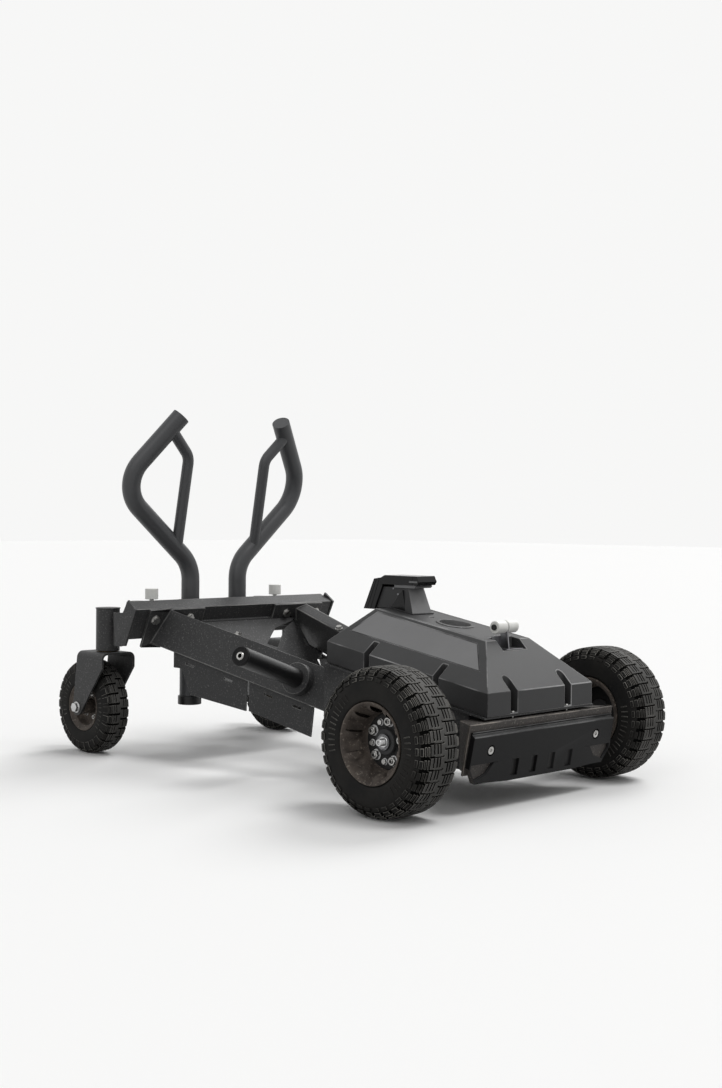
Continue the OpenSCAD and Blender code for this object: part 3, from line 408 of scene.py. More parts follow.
# A colour with patches, a fine grain in bump, and a gloss that swings; some finishes also carry a lighter tone that
# is painted on bevelled edges as a painted edge highlight
usualFinish = {"metal": 0.0, "spec": 0.5, "swing": 0.1, "grain": 700, "bump": 0.2, "depth": 0.0003}
finishes = {
    "frame_powder": {"colour": (0.04, 0.0402, 0.041), "patch": (0.031, 0.031, 0.0315), "patches": 7, "rough": 0.5,
        "grain": 620, "bump": 0.4, "depth": 0.0008, "spec": 0.3, "speck": (0.12, 0.119, 0.116),
        "edgeHighlight": (0.26, 0.258, 0.252)},
    "handle_satin": {"colour": (0.07, 0.0715, 0.075), "patch": (0.06, 0.061, 0.064), "patches": 5, "rough": 0.42,
        "swing": 0.08, "grain": 900, "bump": 0.12, "depth": 0.0005, "spec": 0.4, "edgeHighlight": grey(0.16)},
    "sleeve_black": {"colour": (0.012, 0.012, 0.0125), "patch": (0.009, 0.009, 0.0093), "patches": 12, "rough": 0.36,
        "swing": 0.08, "grain": 1200, "bump": 0.1, "depth": 0.0004, "spec": 0.35},
    "crossmember_brown": {"colour": (0.07, 0.063, 0.058), "patch": (0.045, 0.04, 0.037), "patches": 11,
        "rough": 0.62, "swing": 0.12, "grain": 520, "bump": 0.45, "depth": 0.0009, "spec": 0.35,
        "speck": (0.17, 0.155, 0.14), "edgeHighlight": (0.28, 0.25, 0.22)},
    "moulded_black": {"colour": (0.046, 0.0462, 0.047), "patch": (0.038, 0.038, 0.0385), "patches": 5, "rough": 0.46,
        "swing": 0.07, "grain": 1100, "bump": 0.16, "depth": 0.0005, "spec": 0.23, "edgeHighlight": grey(0.36)},
    "console_black": {"colour": (0.01, 0.01, 0.0105), "patch": (0.008, 0.008, 0.0085), "patches": 8, "rough": 0.16,
        "swing": 0.05, "grain": 1500, "bump": 0.03, "depth": 0.0002, "spec": 0.22, "edgeHighlight": grey(0.2)},
    "cup_satin": {"colour": grey(0.34), "patch": grey(0.3), "patches": 8, "rough": 0.24, "swing": 0.05,
        "grain": 1100, "bump": 0.05, "spec": 0.8, "metal": 0.5},
    "screen_dark": {"colour": (0.01, 0.012, 0.015), "patch": (0.01, 0.011, 0.013), "patches": 10, "rough": 0.08,
        "swing": 0.02, "grain": 500, "bump": 0.01, "depth": 0.0001},
    "zinc": {"colour": (0.5, 0.495, 0.48), "patch": (0.3, 0.295, 0.285), "patches": 60, "rough": 0.3, "swing": 0.12,
        "grain": 900, "bump": 0.08, "metal": 1},
    "bare_steel": {"colour": grey(0.56), "patch": grey(0.45), "patches": 30, "rough": 0.3, "bump": 0.06,
        "metal": 1},
    "cast_pulley": {"colour": grey(0.12), "patch": (0.09, 0.085, 0.08), "patches": 30, "rough": 0.6, "grain": 500,
        "bump": 0.3, "depth": 0.0008, "metal": 0.6},
    "bronze": {"colour": (0.5, 0.36, 0.18), "patch": (0.4, 0.28, 0.13), "patches": 30, "rough": 0.35, "grain": 600,
        "bump": 0.1, "metal": 1},
    "rotor_alloy": {"colour": (0.68, 0.68, 0.69), "patch": (0.6, 0.6, 0.61), "patches": 25, "rough": 0.32,
        "swing": 0.08, "grain": 600, "bump": 0.06, "metal": 1},
    "magnet_nickel": {"colour": (0.72, 0.7, 0.66), "patch": (0.62, 0.6, 0.56), "patches": 40, "rough": 0.18,
        "swing": 0.05, "grain": 600, "bump": 0.03, "depth": 0.0002, "metal": 1},
    "belt_rubber": {"colour": grey(0.018), "patch": (0.026, 0.025, 0.024), "patches": 40, "rough": 0.7, "grain": 900,
        "depth": 0.0004},
    "knob_white": {"colour": (0.9, 0.9, 0.87), "patch": (0.82, 0.82, 0.78), "patches": 30, "rough": 0.42,
        "swing": 0.06, "grain": 1200, "bump": 0.05},
    "rim_bronze": {"colour": (0.115, 0.095, 0.08), "patch": (0.05, 0.041, 0.035), "patches": 24, "rough": 0.66,
        "swing": 0.12, "grain": 380, "bump": 0.6, "depth": 0.0012, "spec": 0.3, "speck": (0.22, 0.188, 0.16),
        "edgeHighlight": (0.26, 0.215, 0.17)},
    "tyre_rubber": {"colour": (0.014, 0.014, 0.0138), "patch": (0.022, 0.021, 0.0195), "patches": 14, "rough": 0.66,
        "bump": 0.25, "depth": 0.0005, "spec": 0.1, "edgeHighlight": (0.26, 0.25, 0.23)},
    # The tread faces are paler than the carcass: partly dust, partly a painted highlight against the painted shade
    # of the grooves
    "tread_dust": {"colour": (0.085, 0.083, 0.079), "patch": (0.05, 0.049, 0.046), "patches": 18, "rough": 0.7,
        "bump": 0.3, "depth": 0.0005, "spec": 0.25, "edgeHighlight": (0.2, 0.193, 0.18)},
    # Black painted shade for the walls and floors of the tread grooves and for the inside of the horn bolts' sockets
    "groove_black": {"colour": grey(0.003), "patch": (0.005, 0.005, 0.0047), "patches": 20, "rough": 0.8,
        "depth": 0.0005, "spec": 0.03},
    "disc_black": {"colour": (0.008, 0.008, 0.0085), "patch": (0.013, 0.0125, 0.012), "patches": 18, "rough": 0.5,
        "grain": 600, "bump": 0.3, "depth": 0.0006, "spec": 0.3},
    "bracket_steel": {"colour": (0.24, 0.24, 0.25), "patch": (0.17, 0.17, 0.175), "patches": 22, "rough": 0.3,
        "swing": 0.08, "grain": 800, "bump": 0.06, "metal": 1},
    "fascia_black": {"colour": (0.013, 0.013, 0.0135), "patch": (0.01, 0.01, 0.0103), "patches": 7, "rough": 0.48,
        "swing": 0.07, "grain": 1000, "depth": 0.0005, "spec": 0.12, "edgeHighlight": grey(0.13)},
    "label_grey": {"colour": (0.17, 0.17, 0.172), "patch": (0.15, 0.15, 0.152), "patches": 6, "rough": 0.4,
        "swing": 0.06, "grain": 1300, "bump": 0.05, "depth": 0.0002},
    "post_grey": {"colour": (0.2, 0.2, 0.202), "patch": (0.16, 0.16, 0.162), "patches": 14, "rough": 0.5,
        "swing": 0.08, "grain": 800, "depth": 0.0004},
}


# Where the noise turns from one tone to the other; flecks are coarser than the grain by speckScale
noiseSet = {"rough": 0.6, "patch": (6, (0.38, 0.62)), "speck": (2, (0.58, 0.7)), "speckScale": 0.42}


def twoTone(tree, place, scale, kind, tones, s=noiseSet):
    detail, stops = s[kind]
    noise = addNode(tree, "TexNoise", {
        "Vector": place, "Scale": scale, "Detail": detail, "Roughness": s["rough"]})
    spread = addNode(tree, "ValToRGB", {"Fac": noise.outputs["Fac"]})
    for stop, position, tone in zip(spread.color_ramp.elements, stops, tones):
        stop.position = position
        stop.color = (*tone, 1)
    return noise.outputs["Fac"], spread.outputs["Color"]


def makeFinish(name, own, tone=None):
    f = {**usualFinish, **own}
    mat = bpy.data.materials.new(name)
    mat.use_nodes = True
    tree = mat.node_tree
    place = addNode(tree, "TexCoord", {}).outputs["Object"]
    patches, colour = twoTone(tree, place, f["patches"], "patch", (f["patch"], tone or f["colour"]))
    if "speck" in f:  # light flecks in the coat
        flecks = twoTone(tree, place, f["grain"] * noiseSet["speckScale"], "speck", (grey(0), grey(1)))[1]
        fleck = addNode(tree, "MixRGB", {"Fac": flecks, "Color1": colour, "Color2": (*f["speck"], 1)})
        colour = fleck.outputs["Color"]
    gloss = addNode(tree, "MapRange", {
        "Value": patches, "To Min": f["rough"] - f["swing"], "To Max": f["rough"] + f["swing"]})
    grain = addNode(tree, "TexNoise", {"Vector": place, "Scale": f["grain"], "Detail": 2})
    bump = addNode(tree, "Bump", {
        "Height": grain.outputs["Fac"], "Strength": f["bump"], "Distance": f["depth"]})
    feed(tree, tree.nodes["Principled BSDF"], {
        "Base Color": colour, "Roughness": gloss.outputs["Result"], "Normal": bump.outputs["Normal"],
        "Metallic": f["metal"], "Specular IOR Level": f["spec"]})
    return mat


finishOf = {name: makeFinish(name, f) for name, f in finishes.items()}
# Second materials in each finish's lighter edge tone: a painted edge highlight for bevel faces
highlightOf = {name: makeFinish(name + "_edge_highlight", f, f["edgeHighlight"]) for name, f in finishes.items() if "edgeHighlight" in f}
print("finishes made")


def paint(obj, finish, *others):
    obj.data.materials.clear()
    for name in (finish, *others):
        obj.data.materials.append(finishOf[name])
    return obj


# Faces that pass the test take the material in that place of the piece's list
def paintFaces(obj, index, test):
    for poly in obj.data.polygons:
        if test(poly.center, poly.normal):
            poly.material_index = index


shaped = []  # nodes that a piece of this script has taken the place of


def stand(obj, body, slotName, *replaced):
    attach(obj, body)
    if replaced:
        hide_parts(*replaced)
        shaped.extend(replaced)


def standFor(obj, node):
    stand(obj, homeOf[node], slotOf[node], node)


for n, obj in nodes.items():
    paint(obj, slotOf[n])

# Rounded edges: a CAD node is copied, merged, bevelled and shown in place of its plain solid
edgeSet = {
    "sharpest": 32, "smoothUnder": 38, "segments": 2, "width": 0.0012,
    "unclamped": ("cross_beam", "left_side_beam", "right_side_beam", "front_crossmember"),
    "own": {
        "cross_beam": 0.0022, "left_side_beam": 0.0024, "right_side_beam": 0.0024,
        "front_crossmember": 0.0018, "left_pull_pin": 0.003, "right_pull_pin": 0.003,
        "brake_magnets": 0.0005, "hood_screws": 0.0004, "fascia_screws": 0.0005, "beam_bolts": 0.0006,
        "selector_lever": 0.0008, "console_screen": 0.0005, "rotor_shaft": 0.0006, "brake_rotor": 0.0005,
        "cup_holder": 0.001, "roller_bracket": 0.0006, "control_cable": 0.0003, "drive_belt": 0.0006,
    },
}


def copyOf(node, name):
    activate(nodes[node])
    bpy.ops.object.duplicate()
    bpy.ops.object.parent_clear(type="CLEAR_KEEP_TRANSFORM")
    obj = named(bpy.context.object, name)
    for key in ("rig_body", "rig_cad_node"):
        if key in obj:
            del obj[key]
    return tidied(obj)


# The bevel faces take the finish's lighter edge material, a painted edge highlight
def roundEdges(obj, width, finish=None, clamp=True, s=edgeSet):
    highlighted = finish in highlightOf
    if highlighted:
        obj.data.materials.append(highlightOf[finish])
    bevelEdges(obj, width, s["sharpest"], s["segments"], use_clamp_overlap=clamp,
               material=len(obj.data.materials) - 1 if highlighted else -1)
    smooth(obj, s["smoothUnder"])


# Tyres: a carcass, a band of blocks round the crown, rows of lugs beside it and ribs on the side walls
frontTyreSet = {
    "radius": 165.1, "pitches": 36, "grooveFrom": 146, "crownDrop": 1.6, "treadDepth": 6.4, "edge": 0.75,
    "lugEdge": 1.15,
    # Lines along the axle: centre band, inner ends of the cross grooves, slits and edge of the crown
    "crownLines": [0.8, 4.2, 10.0, 13.8, 18.6, 22.4, 28.6, 32.2, 40],
    "slits": [(10.0, 13.8), (18.6, 22.4), (28.6, 32.2)],
    # Lines round the tyre, as shares of a pitch: cross groove, its hook and the solid bar
    "crownRows": [0, 0.12, 0.2, 0.26, 0.34, 0.42, 0.5, 0.58, 0.66, 0.74, 0.82, 0.9, 1.0],
    "groove": 0.12, "hook": 0.2, "bar": 0.26, "zigzag": 1.1,
    # Rows of lugs outside the crown: (along the axle, radius) outline, depth and share of gap
    "lugs": [
        {"outline": [(42.2, 162.6), (46, 160.9), (48.4, 159.7), (52.4, 156.4)], "slit": (46, 48.4),
         "depth": 5.4, "gap": 0.26},
        {"outline": [(55.0, 155.2), (58.2, 150.9), (59.6, 147.8)], "depth": 4.2, "gap": 0.34},
        {"outline": [(60.8, 144.6), (62.3, 140.0), (62.9, 137.0)], "depth": 3.4, "gap": 0.34},
    ],
    # Closed outline of the carcass below the lugs, from the crown to the inside of the bead
    "carcass": [(0, 158.9), (38, 157.5), (46, 155.6), (52, 151.6), (55.2, 147.6), (57.2, 143.4), (59.6, 138),
                (61.2, 131), (61.5, 124), (61.3, 114), (60.7, 106), (60.5, 101), (59.9, 97), (58.6, 94.2),
                (56.8, 92.6), (54, 92), (51, 88)],
    "ribs": {"line": [(61.0, 105.5), (61.6, 114), (61.8, 125)], "count": 12, "step": 6, "width": 2.8,
             "starts": [-76, 104], "height": 1.3, "edge": 0.8},
}
casterTyreSet = {
    "radius": 127, "pitches": 28, "grooveFrom": 116, "crownDrop": 1.4, "treadDepth": 5.6, "edge": 0.7,
    "lugEdge": 0.9,
    "crownLines": [0.8, 2.8, 10.2, 13.0, 18.0, 19.8, 25],
    "slits": [(10.2, 13.0), (18.0, 19.8)],
    "crownRows": [0, 0.2, 0.28, 0.3, 0.4, 0.5, 0.6, 0.7, 0.8, 0.9, 1.0],
    "groove": 0.2, "hook": 0.28, "bar": 0.28, "zigzag": 0.9,
    "lugs": [
        {"outline": [(26.6, 124.4), (30.0, 122.2), (32.4, 119.0)], "depth": 5.0, "gap": 0.24},
        {"outline": [(33.4, 117.4), (35.6, 112.4), (37.0, 105.2), (37.6, 97.5)], "depth": 3.6, "gap": 0.3},
    ],
    "carcass": [(0, 121.8), (20, 121.2), (27, 119.4), (31, 116.4), (33.6, 112), (35.2, 106), (36.2, 99),
                (36.8, 92), (36.8, 84), (36.4, 77), (36.1, 72), (35.4, 69.4), (33.6, 67.4), (31.5, 66.6), (29, 62)],
    "ribs": {"line": [(36.4, 77.5), (36.8, 84), (36.8, 90)], "count": 9, "step": 8, "width": 2.6,
             "starts": [-70, 110], "height": 0.8, "edge": 0.8},
}


# How near a point lies to a row or a line that it is on, and the share of the pitch that the zigzag takes
zigzagSet = {"row": 0.01, "line": 0.1, "afterBar": 0.02, "until": 0.97}


def crownRadius(y, s):
    return s["radius"] - s["crownDrop"] * (abs(y) / s["crownLines"][-1]) ** 2


# Points above the axle through centre, from (along the axle, radius) pairs in millimetres
def lineAbove(centre, outline, side=1):
    return [(centre[0], centre[1] + side * y * mm, centre[2] + r * mm) for y, r in outline]


# An open strip is turned round the axle by an angle, and its skin faces the given way
def faceTo(obj, centre, axis, sign, angle=0):
    selectAll()
    facesOut()
    if angle:
        bpy.ops.transform.rotate(value=angle, orient_axis="Y", center_override=centre)
    toObject()
    if obj.data.polygons[0].normal[axis] * sign < 0:
        obj.data.flip_normals()


# The second material is the finish's lighter edge tone, a painted edge highlight for the bevels
def paintWithHighlight(obj, finish):
    paint(obj, finish)
    obj.data.materials.append(highlightOf[finish])


def spinRows(obj, rows, pitch, centre):
    selectAll()
    for a, b in zip(rows, rows[1:]):
        bpy.ops.mesh.spin(steps=1, angle=(b - a) * pitch, center=centre, axis=(0, 1, 0), use_auto_merge=False)


# Where a point lies: share of the pitch round the tyre, and place along the axle
def shareAndPlace(point, centre, pitch):
    d = Vector(point) - Vector(centre)
    return (math.atan2(-d.x, d.z) / pitch), d.y / mm


def isCut(share, y, s):
    if y < 0:
        share = (share + 0.5) % 1.0
    y = abs(y)
    if y < s["crownLines"][0]:
        return False
    if y < s["crownLines"][1]:
        return share < s["hook"]
    if share < s["groove"]:
        return True
    return share > s["bar"] and any(low < y < high for low, high in s["slits"])


# Skin made into blocks: the walls of the grooves take the piece's third material, a black painted shade, and the
# bevelled edges its second, a painted edge highlight
def solidPiece(obj, depth, edge):
    obj.data.materials.append(finishOf["groove_black"])
    applyMod(obj, "SOLIDIFY", thickness=depth * mm, offset=-1, use_even_offset=True, material_offset_rim=2)
    bevelEdges(obj, edge * mm, 40, 1, material=1)


def crownBand(s, centre, z=zigzagSet):
    pitch = 2 * math.pi / s["pitches"]
    lines = [-y for y in reversed(s["crownLines"])] + s["crownLines"]
    obj = drawLine("crownBand", lineAbove(centre, [(y, crownRadius(y, s)) for y in lines]))
    spinRows(obj, s["crownRows"], pitch, centre)
    faceTo(obj, centre, 2, 1)
    deleteFaces(obj, lambda middle, normal: isCut(*shareAndPlace(middle, centre, pitch), s))
    inner, outer = s["slits"][-1]
    for v in obj.data.vertices:  # the outermost slit is a zigzag
        share, y = shareAndPlace(v.co, centre, pitch)
        own = (share + (0.5 if y < 0 else 0)) % 1.0
        rows = [abs(own - row) < z["row"] for row in s["crownRows"]]
        across = inner - z["line"] < abs(y) < outer + z["line"]
        if across and s["bar"] + z["afterBar"] < own < z["until"] and any(rows):
            v.co.y += s["zigzag"] * mm * (1 if rows.index(True) % 2 else -1)
    # The tread faces take the paler tone, partly dust and partly painted highlight
    paintWithHighlight(obj, "tread_dust")
    ringOf(obj, s["pitches"], centre, merge=True)
    solidPiece(obj, s["treadDepth"], s["edge"])
    return obj


def lugRow(s, lug, centre, side):
    pitch = 2 * math.pi / s["pitches"]
    obj = drawLine("lugRow", lineAbove(centre, lug["outline"], side))
    shift = 0 if side > 0 else 0.5
    spinRows(obj, [0, 0.5 * (1 - lug["gap"]), 1 - lug["gap"]], pitch, centre)
    faceTo(obj, centre, 1, side, (s["groove"] + shift) * pitch)
    if "slit" in lug:
        low, high = lug["slit"]
        deleteFaces(obj, lambda middle, normal: low < abs(middle.y - centre[1]) / mm < high)
    paintWithHighlight(obj, "tyre_rubber")
    solidPiece(obj, lug["depth"], s["lugEdge"])
    ringOf(obj, s["pitches"], centre)
    return obj


def ribGroup(s, centre, side, start):
    r = s["ribs"]
    obj = drawLine("ribGroup", lineAbove(centre, r["line"], side))
    selectAll()
    extrudeBy((r["width"] * mm, 0, 0))
    faceTo(obj, centre, 1, side, math.radians(start))
    paintWithHighlight(obj, "tyre_rubber")
    applyMod(obj, "SOLIDIFY", thickness=2 * r["height"] * mm, offset=0)
    bevelEdges(obj, r["edge"] * mm, 30, 1, material=1)
    ringOf(obj, r["count"], centre, step=math.radians(r["step"]))
    return obj


def makeTyre(name, centre, s):
    outline = s["carcass"] + otherHalf(s["carcass"])[:-1]
    body = paint(turned(name, outline + outline[:1], centre, steps=132), "tyre_rubber", "groove_black")
    # The carcass under the tread blocks, which is the floor of the grooves, is painted black as painted shade
    paintFaces(body, 1, lambda face, normal: offAxle(face, centre) > s["grooveFrom"] * mm)
    parts = [crownBand(s, centre)]
    for side in (1, -1):
        parts += [lugRow(s, lug, centre, side) for lug in s["lugs"]]
        parts += [ribGroup(s, centre, side, start) for start in s["ribs"]["starts"]]
    joinInto(body, *parts)
    smooth(body, 32)
    return body


for node, tyreSet in (("front_tyre", frontTyreSet), ("caster_tyre", casterTyreSet)):
    tyre = makeTyre(f"right_{node}_treaded", centreOf(f"right_{node}"), tyreSet)
    twin = mirrored(tyre, f"left_{node}_treaded")
    standFor(tyre, f"right_{node}")
    standFor(twin, f"left_{node}")
print("tyres made")

# Front rims: a deep bowl with ten soft lobes, a black plate on its floor and a boss in the middle
frontRimSet = {
    "lobes": 10, "stepsPerLobe": 14, "firstLobe": 16,
    "lobeAt": (35, 74.8), "lobeSize": 0.0215, "lobeHeight": 7.6, "lobeLean": 0.5,
    "plate": 62.4, "boss": 30.5, "edge": 0.6,
    # (along the axle outboard, radius), from the boss over the floor to the lip and back along the tyre's seat
    "outline": [(13, 12.8), (13, 26.4), (12.4, 28.2), (10.6, 29.4), (3, 30.2), (3, 46), (3, 60.4), (2.2, 61.8),
                (-0.2, 62.2), (-0.2, 63.6), (1.6, 65.2), (4.6, 66.4), (9, 67.2), (14, 67.8), (19, 68.6), (24, 70.4),
                (29, 72.6), (35, 74.8), (41, 77), (47, 79.2), (52, 81), (55.4, 82.4), (57.4, 84.4),
                (59.4, 86.4), (60, 87.4), (60, 90.5), (56, 90.5), (53, 86.4), (36, 82.6), (22, 78), (-20, 78),
                (-30, 80), (-51.6, 82), (-56, 90.5), (-60, 90.5), (-60, 86), (-57, 84.4), (-51, 74.6),
                (-28, 73), (-18, 67), (-6, 66.4), (-3, 63), (-3, 30), (-8, 30), (-8, 12.8)],
}


def frontRim(name, centre, side, s=frontRimSet):
    span = 2 * math.pi / s["lobes"]
    middle = math.radians(s["firstLobe"])
    obj = turned(name, s["outline"] + s["outline"][:1], centre, s["stepsPerLobe"], span, middle - span / 2, side)
    y, r = s["lobeAt"]
    top = onCircle(centre, r, s["firstLobe"], side * y)
    nearest = min(obj.data.vertices, key=lambda v: (v.co - top).length).index
    startPick(obj, "vertex")
    obj.data.vertices[nearest].select = True
    toEdit()
    inward = Vector((-math.sin(middle), side * s["lobeLean"], -math.cos(middle))) * (s["lobeHeight"] * mm)
    bpy.ops.transform.translate(value=inward, use_proportional_edit=True, use_proportional_connected=True,
                                proportional_edit_falloff="SPHERE", proportional_size=s["lobeSize"])
    toObject()
    paint(obj, "rim_bronze", "disc_black", "moulded_black")
    paintFaces(obj, 1, within(centre, s["plate"]))
    paintFaces(obj, 2, within(centre, s["boss"]))
    ringOf(obj, s["lobes"], centre, merge=True)
    bevelEdges(obj, s["edge"] * mm, 38)
    smooth(obj, 40)
    return obj


for hand, side in hands:
    node = f"{hand}_front_rim"
    standFor(frontRim(f"{node}_cast", centreOf(node), side), node)

# Wheel fasteners: five flanged nuts on studs, five small bolts between them, and the cupped washer of the axle
fastenerSet = {
    # "at" is the ring's radius and the first one's angle, "face" the place along the axle outboard
    "nut": {"at": (45, 9), "face": 3, "count": 5, "corner": 10.4, "height": 7.6, "flange": 12.2,
            "flangeHeight": 2.2, "stud": 5.6, "studOut": 2.4},
    "bolt": {"at": (45, -27), "face": 3, "count": 5, "corner": 6.6, "height": 4.6, "flange": 7.8,
             "flangeHeight": 1.2, "stud": 0},
    "washer": [(0, 12.8), (0, 17.6), (0.8, 18.4), (3.2, 18.4), (4.4, 17.6), (4.5, 16.6), (3.4, 15.4), (3.0, 12.8)],
    "hubFace": 13.2, "threadPitch": 1.2, "threadDeep": 0.6, "edge": 0.35, "steps": 36,
    # Shares of the corner: radius of the barrel that turns it off, depth and radius of the slant on its top
    "barrel": (1.05, 0.14, 0.82), "flangeSlant": 0.6, "studPoint": (0.8, 1.6),
}


# Outline of a thread's tops and roots
def threadOf(start, length, radius, pitch, deep):
    return [(start + (i + step) * pitch, radius - (deep if step else 0))
            for i in range(int(length / pitch)) for step in (0, 0.5)]


# A hexagon with its corners turned off, on a flange, with the end of a threaded stud in it where there is one; the
# stud's flat end has a black disc of painted shade for a hole
def hexNut(spot, side, s, g=fastenerSet):
    low = spot + Vector((0, side * s["flangeHeight"] * mm, 0))
    deselectAll()
    bpy.ops.mesh.primitive_cylinder_add(vertices=6, radius=s["corner"] * mm, depth=s["height"] * mm,
                                        location=low + Vector((0, side * s["height"] * mm / 2, 0)),
                                        rotation=(math.radians(90), 0, 0))
    obj = placed("nut")
    c, h = s["corner"], s["height"]
    over, deep, top = (c * share for share in g["barrel"])
    barrel = turned("barrel", [(-1, 0), (-1, over), (h - deep, over), (h, top), (h, 0)], low, g["steps"], side=side)
    cutWith(obj, barrel, "INTERSECT")
    paint(obj, "zinc", "disc_black")
    f, fh = s["flange"], s["flangeHeight"]
    slant = fh * g["flangeSlant"]
    flange = turned("flange", [(0, 0), (0, f), (slant, f), (fh, f - slant), (fh, 0)], spot, g["steps"], side=side)
    parts = [flange]
    if s["stud"]:
        r, top = s["stud"], fh + h
        end = top + s["studOut"]
        rim, holeShade = (r - less for less in g["studPoint"])
        thread = threadOf(top, s["studOut"], r, g["threadPitch"], g["threadDeep"])
        stud = turned("stud", [(top - 1, 0), (top - 1, r)] + thread + [(end, rim), (end, holeShade), (end, 0)],
                      spot, 24, side=side)
        paint(stud, "zinc", "disc_black")
        # The middle of the stud's flat end face is painted black as painted shade for a hole
        paintFaces(stud, 1, within(spot, holeShade))
        parts.append(stud)
    joinInto(obj, *parts)
    bevelEdges(obj, g["edge"] * mm, 35, 1)
    return obj


def nutRing(centre, side, s):
    nut = hexNut(onCircle(centre, *s["at"], side * s["face"]), side, s)
    ringOf(nut, s["count"], centre)
    return nut


def wheelFasteners(centre, side, s=fastenerSet):
    rings = [nutRing(centre, side, s[kind]) for kind in ("nut", "bolt")]
    spot = onCircle(centre, 0, 0, side * s["hubFace"])
    washer = paint(turned("hubWasher", s["washer"] + s["washer"][:1], spot, 48, side=side), "bracket_steel")
    return joinInto(*rings, washer)


lugNuts = joinedAs("lug_nuts_turned", [wheelFasteners(centreOf(f"{hand}_front_rim"), side) for hand, side in hands])
smooth(lugNuts)
standFor(lugNuts, "lug_nuts")

# Drive axle: a plain bar whose ends step down to threads with a socket in the end face
axleSet = {"radius": 12.7, "shoulder": 18, "stud": 8, "studOut": 14, "threadPitch": 2, "threadDeep": 0.8,
           "socket": (4.2, 5), "edge": 1, "tipEdge": 0.8}


def driveAxle(name, centre, s=axleSet):
    half = centreOf("left_front_rim").y / mm + s["shoulder"]
    tip = half + s["studOut"]
    thread = threadOf(half, s["studOut"], s["stud"], s["threadPitch"], s["threadDeep"])
    (r, deep), e = s["socket"], s["edge"]
    end = [(half - e, s["radius"]), (half, s["radius"] - e)] + thread
    end += [(tip - s["tipEdge"], s["stud"]), (tip, s["stud"] - e), (tip, r), (tip - deep, r), (tip - deep, 0)]
    obj = turned(name, otherHalf(end) + end, centre, 48)
    smooth(paint(obj, "bare_steel"))
    return obj


standFor(driveAxle("front_axle_turned", axleAt), "front_axle")

# Caster rims: a pressed dish, five bolts round its hub
casterRimSet = {
    # From the hub over the disc and the dish to the bead and the well
    "outline": [(39.6, 7.6), (39.6, 18), (38, 20), (5, 20), (4, 23), (4, 46), (6, 49), (14, 50.6), (26, 51),
                (29, 53.6), (31.6, 60), (34, 62.2), (35.1, 63), (35.1, 66), (31.1, 66), (27.1, 56.8), (15.1, 55)],
    "bolt": {"at": (33, 12), "face": 4, "count": 5, "corner": 6.4, "height": 5, "flange": 7.6,
             "flangeHeight": 1.2, "stud": 3.4, "studOut": 3},
    "edge": 0.8,
}


def casterRim(name, centre, s=casterRimSet):
    obj = turned(name, s["outline"] + otherHalf(s["outline"]) + s["outline"][:1], centre)
    bevelEdges(obj, s["edge"] * mm, 38)
    smooth(paint(obj, "rim_bronze"), 40)
    return obj


def casterBolts(name, centre, s=casterRimSet):
    bolts = joinedAs(name, [nutRing(centre, side, s["bolt"]) for side in (1, -1)])
    smooth(bolts)
    return bolts


for hand, _ in hands:
    node = f"{hand}_caster_rim"
    standFor(casterRim(f"{node}_pressed", centreOf(node)), node)
    stand(casterBolts(f"{hand}_caster_bolts", centreOf(node)), homeOf[node], "zinc")
print("wheels made")

# Places on the hood are given from the front axle: ahead, to the left and above the floor, in millimetres
def ahead(x, y, z):
    return Vector((axleAt.x + x * mm, y * mm, z * mm))


def boxAt(name, low, high):
    deselectAll()
    bpy.ops.mesh.primitive_cube_add(size=1, location=(low + high) / 2)
    bpy.context.object.scale = high - low
    return placed(name)


def rectangle(a, b, low, high):
    return [(a, low), (b, low), (b, high), (a, high)]


# Closed outside skin of a set of points or of a piece
def hullOf(obj):
    editAll(obj)
    bpy.ops.mesh.convex_hull()
    finishMesh()
    return obj


# The bevels take the finish's lighter edge material, a painted edge highlight
# Only the long sharp edges are rounded, so that small holes and screw seats keep their shape
def roundLong(obj, width, finish, shortest, lowest):
    obj.data.materials.append(highlightOf[finish])
    activate(obj)
    selectMode("edge")
    toEdit()
    bpy.ops.mesh.select_all(action="DESELECT")
    bpy.ops.mesh.edges_select_sharp(sharpness=math.radians(edgeSet["sharpest"]))
    toObject()
    points = obj.data.vertices
    sharp = {frozenset(tuple(points[i].co) for i in e.vertices) for e in obj.data.edges if e.select}
    bevelPicked(obj, lambda a, b: frozenset((tuple(a), tuple(b))) in sharp
                and (a - b).length > shortest and min(a.z, b.z) > lowest,
                offset=width, segments=2, clamp_overlap=False, material=len(obj.data.materials) - 1)
    smooth(obj, edgeSet["smoothUnder"])


# Hood: pockets with round ends, a bare panel let into each side slope and a line inside the edge of the top
hoodSet = {
    "slope": 0.16376, "midFront": (114.3, 263), "topFront": (11.8, 367.6), "topRear": -346.2,
    "half": 192, "topHalf": 79, "skirt": 210,
    "frontPocket": {"x": (82, 126), "y": 99, "half": 12.2, "round": 11.4},
    "sidePocket": {"x": (-265, -42), "half": 8.7, "y": (157, 204), "round": 3},
    "pocketHigh": 110, "floor": 4, "wall": 2.4, "inside": 0.9994, "edge": 0.0016,
    "panel": [(-363.6, 150), (-332.2, 86), (-5.4, 90), (52.1, 149)],
    "panelDeep": 1.9, "panelGap": 1.5, "panelThick": 1.2, "panelUp": 0.05, "panelEdge": 0.3, "cutHigh": 6,
    "line": {"inside": 5.5, "wide": 2.4, "deep": 1.8, "over": 4},
}


def hoodHeight(x, start, s=hoodSet):
    return start[1] + s["slope"] * (start[0] - x)


def slopePoint(x, y, s=hoodSet):
    low, high = hoodHeight(x, s["midFront"]), hoodHeight(x, s["topFront"])
    share = (s["half"] - abs(y)) / (s["half"] - s["topHalf"])
    return ahead(x, y, low + (high - low) * share)


